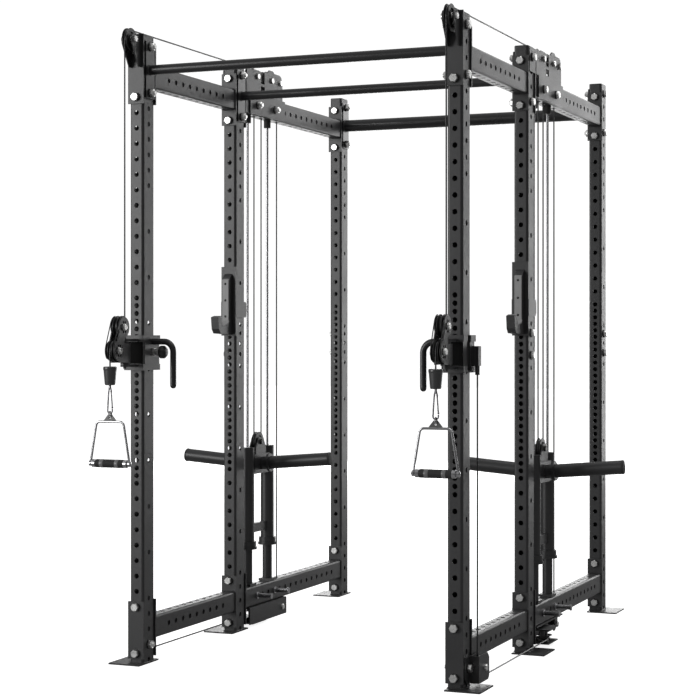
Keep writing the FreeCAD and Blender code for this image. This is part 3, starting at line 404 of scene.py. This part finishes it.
def axle_bolt(bright, points, centre, axis, reach, spin):
    """A pulley axle: a hex head, a plain end, the shank, and the spacer washers along it."""
    way = axis_way(axis)
    for sign in (1, -1):
        end = centre + way * sign * (reach - AXLE_HEAD)
        if end_radius(points, centre, way * sign, reach) > 0.008:
            add_hexagon(bright, AXLE_AF, AXLE_HEAD, turn_to(way * sign, end, spin), 0.0012)
        else:
            add_lathe(bright, [(0, 0), (AXLE_R, 0), (AXLE_R, AXLE_HEAD - 0.001),
                               (AXLE_R - 0.001, AXLE_HEAD), (0, AXLE_HEAD)], turn_to(way * sign, end))
    add_lathe(bright, [(0, -reach + AXLE_HEAD), (AXLE_R, -reach + AXLE_HEAD),
                       (AXLE_R, reach - AXLE_HEAD), (0, reach - AXLE_HEAD)], turn_to(way, centre))
    spacer_r, spacer_t = 0.009, 0.001
    for level in sorted({round((p - centre)[axis], 4) for p in points
                         if spacer_r - 0.0005 < off_axis(p, centre, way) < spacer_r + 0.0003}):
        place = centre + way * (level - spacer_t / 2)
        add_lathe(bright, washer_profile(AXLE_R, spacer_r, spacer_t), turn_to(way, place))


def frame_bolt(bright, black, points, centre, axis, reach, spin):
    """A hex bolt with its threaded shank and the black washer under its head."""
    way = axis_way(axis)
    head = way if end_radius(points, centre, way, reach) > 0.010 else -way
    flange = max((p - centre).dot(head) for p in points
                 if off_axis(p, centre, head) > WASHER_R - 0.0005)
    seat = centre + head * flange
    height = (centre + head * reach - seat).length
    add_hexagon(bright, HEAD_AF, height, turn_to(head, seat, spin), 0.0018)
    add_lathe(bright, threaded(2 * reach - height), turn_to(head, seat), 28)
    add_lathe(black, washer_profile(BOLT_R, WASHER_R, WASHER_T), turn_to(head, seat - head * WASHER_T))


def frame_nut(bright, black, points):
    """A hex nut on its black washer."""
    low, high = extent(points)
    size, centre = high - low, (low + high) / 2
    axis = min(range(3), key=lambda i: size[i])
    way = axis_way(axis)
    reach = size[axis] / 2
    out = way if end_radius(points, centre, way, reach) < WASHER_R - 0.0005 else -way
    seat = centre - out * reach
    bore = BOLT_R + 0.0001
    add_lathe(black, washer_profile(bore, WASHER_R, WASHER_T), turn_to(out, seat))
    place = turn_to(out, seat + out * WASHER_T, random.uniform(0, 1))
    add_hexagon(bright, HEAD_AF, NUT_T, place, 0.0018, bore)


def fasteners():
    """Real heads, threads, washers and nuts in place of the frame's plain ones."""
    bright, black = bmesh.new(), bmesh.new()
    for points in islands("frame_bolts"):
        low, high = extent(points)
        size, centre = high - low, (low + high) / 2
        axis = 0 if size.z < AXLE_SPREAD else max(range(3), key=lambda i: size[i])
        reach = size[axis] / 2
        spin = random.uniform(0, math.pi / 3)
        if max(size[i] for i in range(3) if i != axis) < AXLE_SPREAD:
            axle_bolt(bright, points, centre, axis, reach, spin)
        else:
            frame_bolt(bright, black, points, centre, axis, reach, spin)
    for points in islands("frame_nuts"):
        frame_nut(bright, black, points)
    heads = from_bmesh("hex_bolts_and_nuts", bright, "zinc_fastener")
    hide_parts("frame_bolts", "frame_nuts")
    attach(heads, "frame")
    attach(from_bmesh("black_washers", black, "washer_black"), "frame")


fasteners()


# ---- uprights: caps and welds ----
def rounded_rectangle(width, depth, corner, steps=6):
    """Outline of a tube's section, as (across, along) pairs from its middle."""
    points = []
    for sx, sy, start in ((1, 1, 0), (-1, 1, 90), (-1, -1, 180), (1, -1, 270)):
        for k in range(steps + 1):
            a = math.radians(start + 90 * k / steps)
            points.append((sx * (width / 2 - corner) + corner * math.cos(a),
                           sy * (depth / 2 - corner) + corner * math.sin(a)))
    return points


def post_centres():
    """The middle of each upright's section, on the floor."""
    for low, high in POSTS:
        for _, s in SIDES:
            yield Vector((s * POST_X, (low.y + high.y) / 2, 0))


def post_caps():
    """Push-in caps with a soft crown, one in the top of each upright."""
    bm = bmesh.new()
    for centre in post_centres():
        rings = []
        for inset, z in ((0.0034, -0.012), (0.0034, 0.0), (0.0002, 0.0002), (0.0002, 0.0016),
                         (0.0016, 0.0028), (0.012, 0.0034)):
            outline = rounded_rectangle(TUBE_W - 2 * inset, TUBE_D - 2 * inset, max(0.008 - inset, 0.003))
            rings.append([bm.verts.new(centre + Vector((x, y, POST_TOP + z))) for x, y in outline])
        bridge(bm, rings)
        bm.faces.new(rings[-1])
        bm.faces.new(list(reversed(rings[0])))
    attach(from_bmesh("post_caps", bm, "nylon_black"), "frame")


def weld_path(centre, axis_a, axis_b, width, depth, corner):
    """Points of a bead round a rectangular tube, a little uneven as a weld is."""
    outline = rounded_rectangle(width, depth, corner, 4)
    dense = []
    for (x0, y0), (x1, y1) in zip(outline, outline[1:] + outline[:1]):
        pieces = max(1, int(math.hypot(x1 - x0, y1 - y0) / 0.0035))
        dense += [(x0 + (x1 - x0) * k / pieces, y0 + (y1 - y0) * k / pieces) for k in range(pieces)]
    return [centre + axis_a * (x + random.uniform(-1, 1) * 0.0002)
            + axis_b * (y + random.uniform(-1, 1) * 0.0002) for x, y in dense]


def welds():
    """Beads at the foot of each upright, at the ends of each side beam and of each bar."""
    width, depth, corner = TUBE_W + 0.001, TUBE_D + 0.001, 0.008
    foot_bead, end_bead = 0.0026, 0.0024
    shortest_beam, bar_plate = 0.1, 0.006
    bm = bmesh.new()
    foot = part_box("foot_plates")[1].z
    for centre in post_centres():
        path = weld_path(centre + Z * foot, X, Y, width, depth, corner)
        add_tube(bm, path, foot_bead, sides=8, closed=True)
    for node in ("lower_side_beams", "upper_side_beams"):
        for points in islands(node):
            low, high = extent(points)
            if high.y - low.y < shortest_beam:
                continue
            middle = (low + high) / 2
            for y in (low.y, high.y):
                path = weld_path(Vector((middle.x, y, middle.z)), X, Z, width, depth, corner)
                add_tube(bm, path, end_bead, sides=8, closed=True)
    for name, radius in (("front", 0.016), ("middle", 0.016), ("rear", 0.024)):
        low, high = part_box("pull_up_bar_" + name)
        middle = (low + high) / 2
        for sign in (1, -1):
            ring = Vector((sign * (high.x - bar_plate), middle.y, middle.z))
            path = [ring + (Y * math.cos(a) + Z * math.sin(a)) * (radius + random.uniform(0, 0.0004))
                    for a in (2 * math.pi * k / 40 for k in range(40))]
            add_tube(bm, path, end_bead, sides=8, closed=True)
    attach(from_bmesh("weld_beads", bm, "weld"), "frame")


post_caps()
welds()


# ---- cables ----
# Places are in millimetres, for at(). Radii and thicknesses of wire and plate are in metres.
CABLE_R = 0.0025
TOP_Z = 2050.0                                # level of the high pulleys' axles
PITCH_R = 31.0                                # of the cable round a pulley, in millimetres
BLOCK_AXLES = ((-109.0, 1110.0), (-141.0, 1034.0))     # (y, z) of the swivel block's two pulleys
FALL_Y = BLOCK_AXLES[0][0] + PITCH_R
HANDLE_Y = BLOCK_AXLES[1][0] - PITCH_R
CARRIAGE_Y, CARRIAGE_Z = 922.0, 685.0
LOW_FALL_X, LOW_FALL_Y, LOW_FALL_ENDS = 598.0, 83.0, (55.0, 961.0)
STOP_LOW, STOP_HIGH = 924.0, 984.0


def straight(start, end, pieces=40):
    """Evenly spaced points, so that a stretched cable lengthens evenly."""
    return [start.lerp(end, k / pieces) for k in range(pieces + 1)]


def cable_falls(side, s):
    """The sheathed cable between bodies, and round the carriage's pulley."""
    post = 1000 * POST_X * s

    def fall(name, node, top, end, pieces=40):
        piece = tube(name + "_" + side, straight(top, end, pieces), CABLE_R, "cable_black")
        if node:
            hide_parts(node + "_" + side)
        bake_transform(piece)
        return piece

    front = fall("front_fall", "front_fall_cable", at(post, FALL_Y, TOP_Z),
                 at(post, FALL_Y, BLOCK_AXLES[0][1]))
    low_x = LOW_FALL_X * s
    low = fall("trolley_fall", "trolley_fall_cable", at(low_x, LOW_FALL_Y, LOW_FALL_ENDS[0]),
               at(low_x, LOW_FALL_Y, LOW_FALL_ENDS[1]))
    pull = fall("handle_fall", "handle_cable", at(post, HANDLE_Y, BLOCK_AXLES[1][1]),
                at(post, HANDLE_Y, STOP_HIGH), 20)
    for label, sign in (("front", -1), ("rear", 1)):
        y = CARRIAGE_Y + sign * PITCH_R
        fall("carriage_fall_" + label, None, at(post, y, TOP_Z), at(post, y, CARRIAGE_Z))
    arc = [at(post, CARRIAGE_Y - PITCH_R * math.cos(a), CARRIAGE_Z - PITCH_R * math.sin(a))
           for a in (math.pi * k / 24 for k in range(25))]
    loop = tube("carriage_loop_" + side, arc, CABLE_R, "cable_black")
    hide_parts("carriage_cable_" + side)
    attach(loop, "carriage_" + side)


# ---- handles ----
HANDLE_TOP, GRIP_Z = 807.0, 673.0
GRIP_HALF, BOW_HALF = 71.0, 49.0              # half widths of the handle at its grip and at its top
BOW_R, GRIP_ROD_R = 0.004, 0.006
HOOK_TOP, HOOK_LOW = 908.0, 843.0             # centres of the snap hook's upper and lower bends
HOOK_NARROW, HOOK_WIDE = 4.2, 8.6             # and their radii
GATE_LOW, GATE_RISE = 849.0, 59.0
EYE_HALF, EYE_TOP_HALF, EYE_TALL = 25.5, 6.0, 24.0
EYE_HOLE_UP = 13.0
EYE_HOLE_R, EYE_T = 0.0040, 0.004


def stopper(side, post):
    """Tapered rubber stop that the cable pulls against the swivel block."""
    return lathe("stopper_" + side,
                 [(0, 0), (0.0145, 0), (0.0162, 0.0012), (0.0169, 0.004), (0.0206, 0.046),
                  (0.0211, 0.049), (0.0219, 0.0505), (0.0219, 0.0565), (0.0200, 0.0595),
                  (0.008, 0.0598), (0.006, 0.057), (0.0028, 0.057), (0, 0.057)],
                 turn_to(Z, at(post, HANDLE_Y, STOP_LOW)), "stopper_black")


def snap_hook(side, post):
    """Teardrop hook bent from wire, with its gate, the gate's two pins and the swivel stem."""
    slope = HOOK_WIDE - HOOK_NARROW

    def gate_point(t):
        return at(post + HOOK_WIDE - slope * t, HANDLE_Y, GATE_LOW + GATE_RISE * t)

    half_turn = [math.pi * k / 12 for k in range(13)]
    points = [at(post + HOOK_NARROW * math.cos(a), HANDLE_Y, HOOK_TOP + HOOK_NARROW * math.sin(a))
              for a in half_turn]
    points += [at(post - HOOK_NARROW - slope * t ** 0.8, HANDLE_Y, HOOK_TOP + (HOOK_LOW - HOOK_TOP) * t)
               for t in (k / 8 for k in range(1, 8))]
    points += [at(post - HOOK_WIDE * math.cos(a), HANDLE_Y, HOOK_LOW - HOOK_WIDE * math.sin(a))
               for a in half_turn]
    points += [at(post + HOOK_WIDE - 0.3, HANDLE_Y, HOOK_LOW + 5)]
    bm = bmesh.new()
    add_tube(bm, points, 0.0026, sides=14)
    add_tube(bm, [gate_point(t) for t in (0, 0.1, 0.5, 0.9, 1)], 0.0023, sides=14)
    add_lathe(bm, [(0, -0.002), (0.0040, -0.002), (0.0050, 0.0), (0.0050, 0.004), (0.0040, 0.006),
                   (0.0040, 0.0130), (0, 0.0130)],
              turn_to(Z, at(post, HANDLE_Y, HOOK_TOP + HOOK_NARROW)), 24)
    for t in (0.06, 0.95):
        add_lathe(bm, [(0, -0.0022), (0.0033, -0.0022), (0.0033, 0.0022), (0, 0.0022)],
                  turn_to(Z, gate_point(t)), 20)
    return from_bmesh("snap_hook_" + side, bm, "hook_steel")


def link_ring(side, post):
    """Round ring between the hook and the handle's eye."""
    ring = [at(post, HANDLE_Y + 10 * math.cos(a), 830 + 10 * math.sin(a))
            for a in (2 * math.pi * k / 36 for k in range(36))]
    return tube("link_ring_" + side, ring, 0.002, "chrome_steel", closed=True)


def eye_plate(side, post):
    """Tapered plate on the bow's top, with the hole that the link ring hangs in."""
    hole = at(post, HANDLE_Y, HANDLE_TOP + EYE_HOLE_UP)
    corners = [at(post + x, HANDLE_Y, HANDLE_TOP + z)
               for x, z in ((EYE_TOP_HALF, EYE_TALL), (EYE_HALF, 0), (-EYE_HALF, 0),
                            (-EYE_TOP_HALF, EYE_TALL))]
    outline = []
    for here, following in zip(corners, corners[1:] + corners[:1]):
        outline += [here.lerp(following, k / 6) for k in range(6)]
    inner = [hole + (p - hole).normalized() * EYE_HOLE_R for p in outline]
    half = Y * (EYE_T / 2)
    bm = bmesh.new()
    loops = [[bm.verts.new(p + offset) for p in loop] for loop, offset in
             ((outline, half), (inner, half), (inner, -half), (outline, -half))]
    bridge(bm, loops + loops[:1])
    return from_bmesh("handle_eye_" + side, bm, "eye_steel")


def handle_bow(side, post):
    """Bent wire frame of the handle, its two end discs and the rod through the grip."""
    bm = bmesh.new()
    bow = [at(post - GRIP_HALF, HANDLE_Y, GRIP_Z + 3), at(post - BOW_HALF, HANDLE_Y, HANDLE_TOP),
           at(post + BOW_HALF, HANDLE_Y, HANDLE_TOP), at(post + GRIP_HALF, HANDLE_Y, GRIP_Z + 3)]
    add_tube(bm, smooth_path(bow, 0.014), BOW_R, sides=18)
    for sign in (-1, 1):
        end = at(post + sign * GRIP_HALF, HANDLE_Y, GRIP_Z)
        add_lathe(bm, [(0, -0.0045), (0.0082, -0.0045), (0.0092, -0.0035), (0.0092, 0.0035),
                       (0.0070, 0.0050), (0, 0.0055)], turn_to(X * sign, end), 36)
    add_lathe(bm, [(0, -0.070), (GRIP_ROD_R, -0.070), (GRIP_ROD_R, 0.070), (0, 0.070)],
              turn_to(X, at(post, HANDLE_Y, GRIP_Z)), 28)
    return from_bmesh("handle_bow_" + side, bm, "chrome_steel")


def handle(side, s):
    """The cable's end fittings and the handle that hangs from them."""
    post = 1000 * POST_X * s
    cone, hook, link = stopper(side, post), snap_hook(side, post), link_ring(side, post)
    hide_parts("cable_end_" + side)
    eye, bow = eye_plate(side, post), handle_bow(side, post)
    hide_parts("handle_frame_" + side)
    for piece in (cone, hook, link, eye, bow):
        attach(piece, "handle_" + side)


def grip(side, s):
    """Ribbed rubber sleeve of the handle, with two smooth bands whose lighter grey is painted highlight, and
    a bright ring at each end.
    """
    centre = at(1000 * POST_X * s, HANDLE_Y, GRIP_Z)
    bore, outer, rib = 0.00606, 0.0130, 0.0005
    band_at, ribs = 0.028, 68
    profile = [(bore, -0.051), (outer - 0.001, -0.051), (outer, -0.050)]
    for k in range(ribs + 1):
        z = -0.049 + 0.098 * k / ribs
        if not band_at - 0.007 < abs(z) < band_at + 0.007:
            profile.append((outer + (rib if k % 2 else 0), z))
    profile += [(outer, 0.050), (outer - 0.001, 0.051), (bore, 0.051)]
    sleeve = lathe("grip_sleeve_" + side, profile, turn_to(X, centre), "rubber_black", 56)
    bm = bmesh.new()
    for place in (-band_at, band_at):
        add_lathe(bm, [(outer - 0.001, -0.0068), (outer + 0.0002, -0.0068), (outer + 0.0007, -0.0055),
                       (outer + 0.0007, 0.0055), (outer + 0.0002, 0.0068), (outer - 0.001, 0.0068)],
                  turn_to(X, centre + X * place), 56)
    # the bands' lighter grey is painted highlight on real raised bands
    bands = from_bmesh("grip_bands_" + side, bm, "grip_band")
    bm = bmesh.new()
    for sign in (-1, 1):
        add_lathe(bm, [(bore, 0.0512), (0.0118, 0.0512), (0.0128, 0.0522), (0.0128, 0.0625),
                       (0.0115, 0.0640), (bore, 0.0640)], turn_to(X * sign, centre), 56)
    rings = from_bmesh("grip_rings_" + side, bm, "chrome_steel")
    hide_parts("handle_grip_" + side)
    for piece, name in ((sleeve, "rubber_black"), (bands, "rubber_black"), (rings, "chrome_steel")):
        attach(piece, "handle_grip_" + side)


# ---- trolley details ----
def knob(side, s):
    """Fluted knob of the pop pin, with its collar and bright pin."""
    low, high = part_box("pop_pin_" + side)
    inboard = low.x if s > 0 else high.x
    place = turn_to(X * s, Vector((inboard, (low.y + high.y) / 2, (low.z + high.z) / 2)))
    flutes, flute_depth = 12, 0.045
    head = lathe("pin_knob_" + side,
                 [(0, 0), (0.0128, 0), (0.0148, 0.0010), (0.0206, 0.0076), (0.0215, 0.0098),
                  (0.0215, 0.0185), (0.0200, 0.0215), (0.0150, 0.0230), (0, 0.0230)],
                 place, "nylon_black", 96,
                 lambda a: 1 - flute_depth * (0.5 + 0.5 * math.cos(flutes * a)) ** 2)
    shank = lathe("pin_shank_" + side,
                  [(0, 0.0225), (0.0125, 0.0225), (0.0125, 0.0300), (0.0108, 0.0310),
                   (0.0108, 0.0420), (0.0125, 0.0430), (0.0125, 0.0490), (0.0112, 0.0495),
                   (0.0060, 0.0495), (0.0060, 0.0635), (0.0050, 0.0645), (0, 0.0645)],
                  place, "zinc_fastener", 40)
    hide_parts("pop_pin_" + side)
    for piece in (head, shank):
        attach(piece, "pop_pin_" + side)


def trolley_grip(side, s):
    """Satin sleeve over the bent pull handle, with its round end."""
    x, y, z = 1000 * POST_X * s - 116 * s, TUBE_D * 500, 1063.0
    bend, radius, round_from, dome = 34.0, 0.01015, 919.0, 10.0
    path = [at(x + 76 * s, y, z), at(x + (bend + 8) * s, y, z)]
    path += [at(x + (bend - bend * math.sin(a)) * s, y, z - bend + bend * math.cos(a))
             for a in (math.pi / 2 * k / 12 for k in range(13))]
    path.append(at(x, y, round_from + 5))
    path += [at(x, y, round_from - dome * math.sin(a)) for a in (math.pi / 2 * k / 8 for k in range(8))]
    bm = bmesh.new()
    add_tube(bm, path, radius, sides=28)
    end = at(x, y, round_from)
    for vert in bm.verts:
        below = end.z - vert.co.z
        if below > 0:
            middle = Vector((end.x, end.y, vert.co.z))
            reach = math.sqrt(max(0.0, 1 - (below / 0.0102) ** 2))
            vert.co = middle + (vert.co - middle) * reach
    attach(from_bmesh("trolley_grip_sleeve_" + side, bm, "bar_black", 50), "trolley_" + side)


def trolley_shade_panel(side, s):
    """Near-black panel on the front of the trolley, between its two rims: painted shade standing in for the
    dark hollow there.
    """
    middle, half, face, low, high = 1000 * POST_X * s, 32, -16, 990.5, 1062.5
    bm = bmesh.new()
    add_prism(bm, [at(middle - half, face, low), at(middle + half, face, low),
                   at(middle + half, face, high), at(middle - half, face, high)], Y * -0.0012)
    # painted shade: this thin panel only darkens the trolley's front to stand in for the shadow in its hollow
    liner = bevelled(from_bmesh("trolley_painted_shade_panel_" + side, bm, "painted_recess_shade"), 0.0005)
    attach(liner, "trolley_" + side)


def block_fittings(side, s):
    """Bright axle bolts of the pulley block, and the wire guard along the front of each side plate."""
    middle, plate_face = 1000 * POST_X * s, 16.5
    bm = bmesh.new()
    for y, z in BLOCK_AXLES:
        for sign in (-1, 1):
            seat = at(middle + sign * plate_face, y, z)
            add_lathe(bm, washer_profile(0.001, 0.0112, 0.0012), turn_to(X * sign, seat), 40)
            place = turn_to(X * sign, seat + X * sign * 0.001, random.uniform(0, 1))
            add_hexagon(bm, 0.0192, 0.0062, place, 0.0015)
    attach(from_bmesh("block_bolts_" + side, bm, "zinc_fastener"), "swivel_block_" + side)
    bm = bmesh.new()
    guard_x, guard_r = 15.2, 35.2
    for sign in (-1, 1):
        path = []
        for (y, z), first, last in zip(BLOCK_AXLES, (96, 156), (156, 226)):
            for k in range(11):
                a = math.radians(first + (last - first) * k / 10)
                path.append(at(middle + sign * guard_x, y + guard_r * math.cos(a), z + guard_r * math.sin(a)))
        add_tube(bm, path, 0.0017, sides=10)
    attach(from_bmesh("block_guards_" + side, bm, "washer_black"), "swivel_block_" + side)


def cup_liners(side, s):
    """Plastic faces of a J-cup: a strip up its stem, and a saddle with a lip."""
    low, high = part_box("j_cup_" + side)
    seat, base = POSTS[1][0].y - 0.0084, low.z
    middle = s * POST_X

    def local(y, z):
        return Vector((middle, seat + y / 1000, base + z / 1000))

    bm = bmesh.new()
    add_prism(bm, [p - X * 0.0125 for p in (local(-22.0, 205), local(-26.5, 203), local(-26.5, 54),
                                            local(-22.0, 52))], X * 0.025)
    saddle = ((-22.2, 52), (-30.0, 40.2), (-72.0, 34.2), (-82.0, 44.2), (-94.0, 70.2))
    inner = ((-26.0, 55), (-33.0, 45.5), (-70.0, 39.8), (-78.0, 47.8), (-89.5, 71.8))
    add_prism(bm, [local(y, z) - X * 0.0145 for y, z in saddle + inner[::-1]], X * 0.029)
    liner = bevelled(from_bmesh("cup_liner_" + side, bm, "liner_grey", 20), 0.0008)
    bm = bmesh.new()
    for y, z in ((-26.5, 188), (-26.5, 128), (-26.5, 70)):
        add_lathe(bm, [(0, 0), (0.0042, 0), (0.0042, 0.0006), (0.0028, 0.0016), (0, 0.0018)],
                  turn_to(-Y, local(y, z)), 24)
    screws = from_bmesh("cup_screws_" + side, bm, "washer_black")
    for piece in (liner, screws):
        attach(piece, "j_cup_" + side)


def sleeve_caps(side, s):
    """Rubber plugs in the outer ends of the two loading sleeves."""
    tilt = math.radians(4.7)
    reach = 0.297 / math.cos(tilt)
    bm = bmesh.new()
    root = at(1000 * POST_X * s, CARRIAGE_Y, 602.5)
    for way in (1, -1):
        along = Vector((way * math.cos(tilt), 0, math.sin(tilt)))
        add_lathe(bm, [(0, -0.004), (0.0242, -0.004), (0.0248, -0.003), (0.0248, 0.0), (0.0236, 0.0022),
                       (0.019, 0.0034), (0, 0.0040)], turn_to(along, root + along * reach), 56)
    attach(from_bmesh("sleeve_caps_" + side, bm, "rubber_black"), "carriage_" + side)


def bearing_rings():
    """Bright bearing faces in the hubs of every pulley."""
    pulleys = ["top_pulleys", "high_front_pulleys", "high_middle_pulleys", "high_rear_pulleys",
               "low_front_pulleys", "low_rear_pulleys"]
    for side, _ in SIDES:
        pulleys += [name + side for name in ("block_pulley_upper_", "block_pulley_lower_",
                                             "carriage_pulley_")]
    for node in pulleys:
        bm = bmesh.new()
        for points in islands(node):
            low, high = extent(points)
            for sign in (1, -1):
                face = (low + high) / 2 + X * sign * ((high.x - low.x) / 2 - 0.0006)
                add_lathe(bm, [(0.0062, 0), (0.0098, 0), (0.0098, 0.0008), (0.0092, 0.0011),
                               (0.0066, 0.0011), (0.0062, 0.0008)], turn_to(X * sign, face), 32)
        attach(from_bmesh("bearing_" + node, bm, "zinc_fastener"), node)


for side, s in SIDES:
    cable_falls(side, s)
    handle(side, s)
    grip(side, s)
    knob(side, s)
    trolley_grip(side, s)
    trolley_shade_panel(side, s)
    block_fittings(side, s)
    cup_liners(side, s)
    sleeve_caps(side, s)
bearing_rings()


# ---- studio ----
def seen_directly(tree):
    """1 where a ray comes straight from the eye, so floor and background look white but light little."""
    return tree.nodes.new("ShaderNodeLightPath").outputs["Is Camera Ray"]


def stage():
    """A wide pale floor just under the feet."""
    mat = bpy.data.materials.new("studio_floor")
    mat.use_nodes = True
    tree = mat.node_tree
    tree.nodes.clear()
    out = tree.nodes.new("ShaderNodeOutputMaterial")
    bounce, paper = tree.nodes.new("ShaderNodeBsdfDiffuse"), tree.nodes.new("ShaderNodeBsdfDiffuse")
    bounce.inputs["Color"].default_value = (0.40, 0.40, 0.40, 1)
    paper.inputs["Color"].default_value = (0.8, 0.8, 0.8, 1)
    glow = tree.nodes.new("ShaderNodeEmission")
    glow.inputs["Strength"].default_value = 0.86
    lit, choose = tree.nodes.new("ShaderNodeAddShader"), tree.nodes.new("ShaderNodeMixShader")
    tree.links.new(paper.outputs[0], lit.inputs[0])
    tree.links.new(glow.outputs[0], lit.inputs[1])
    tree.links.new(seen_directly(tree), choose.inputs["Fac"])
    tree.links.new(bounce.outputs[0], choose.inputs[1])
    tree.links.new(lit.outputs[0], choose.inputs[2])
    tree.links.new(choose.outputs[0], out.inputs["Surface"])
    bm = bmesh.new()
    bmesh.ops.create_grid(bm, x_segments=1, y_segments=1, size=30)
    mesh = bpy.data.meshes.new("studio_floor")
    bm.to_mesh(mesh)
    bm.free()
    mesh.materials.append(mat)
    floor = bpy.data.objects.new("studio_floor", mesh)
    floor.location.z = cad_box[0][2] - 0.0002
    bpy.context.scene.collection.objects.link(floor)


def softbox(name, azimuth, distance, height, target_z, width, tall, power):
    """A soft panel; azimuth is in degrees to the right of +Y, as seen from above."""
    turn = math.radians(azimuth)
    place = Vector((distance * math.sin(turn), distance * math.cos(turn), height))
    data = bpy.data.lights.new(name, "AREA")
    data.shape = "RECTANGLE"
    data.size, data.size_y, data.energy = width, tall, power
    lamp = bpy.data.objects.new(name, data)
    lamp.location = place
    lamp.rotation_euler = (Vector((0, 0, target_z)) - place).to_track_quat("-Z", "Y").to_euler()
    lamp.visible_camera = False
    bpy.context.scene.collection.objects.link(lamp)


def surroundings():
    """White behind the object, and a dim room, brighter overhead, in what the object reflects."""
    world = bpy.data.worlds.new("studio")
    bpy.context.scene.world = world
    world.use_nodes = True
    tree = world.node_tree
    white = tree.nodes["Background"]
    white.inputs["Color"].default_value = (1, 1, 1, 1)
    white.inputs["Strength"].default_value = 1.05
    room = tree.nodes.new("ShaderNodeBackground")
    place, split = tree.nodes.new("ShaderNodeTexCoord"), tree.nodes.new("ShaderNodeSeparateXYZ")
    ramp, choose = tree.nodes.new("ShaderNodeValToRGB"), tree.nodes.new("ShaderNodeMixShader")
    height = tree.nodes.new("ShaderNodeMapRange")
    height.inputs["From Min"].default_value = -1
    low, high = ramp.color_ramp.elements
    low.position, low.color = 0.40, (0.025, 0.025, 0.025, 1)
    high.position, high.color = 1.0, (0.55, 0.55, 0.55, 1)
    middle = ramp.color_ramp.elements.new(0.52)
    middle.color = (0.125, 0.125, 0.125, 1)
    tree.links.new(place.outputs["Generated"], split.inputs[0])
    tree.links.new(split.outputs["Z"], height.inputs["Value"])
    tree.links.new(height.outputs["Result"], ramp.inputs["Fac"])
    tree.links.new(ramp.outputs["Color"], room.inputs["Color"])
    tree.links.new(seen_directly(tree), choose.inputs["Fac"])
    tree.links.new(room.outputs[0], choose.inputs[1])
    tree.links.new(white.outputs[0], choose.inputs[2])
    tree.links.new(choose.outputs[0], tree.nodes["World Output"].inputs["Surface"])


def studio():
    """The room and four soft panels."""
    surroundings()
    softbox("back_right", 14, 5.5, 2.2, 1.2, 1.5, 4.2, 74)
    softbox("back_low", -18, 9.0, 1.3, 0.3, 5.0, 1.8, 170)
    softbox("front_left", 218, 8.0, 2.2, 1.1, 3.0, 3.6, 265)
    softbox("overhead", 60, 1.5, 6.0, 0.0, 3.0, 3.0, 60)
    bpy.context.scene.view_settings.view_transform = "Standard"


def camera():
    """A long lens at the front right, level, a little above the cage's middle."""
    data = bpy.data.cameras.new("camera")
    data.sensor_width, data.lens = 36.0, 91.10
    data.shift_y = -0.0179
    cam = bpy.data.objects.new("camera", data)
    cam.location = at(2328.1, -5113.2, 1076.6)
    cam.rotation_euler = (math.radians(90), 0, math.radians(22.53))
    bpy.context.scene.collection.objects.link(cam)
    bpy.context.scene.camera = cam


stage()
studio()
camera()
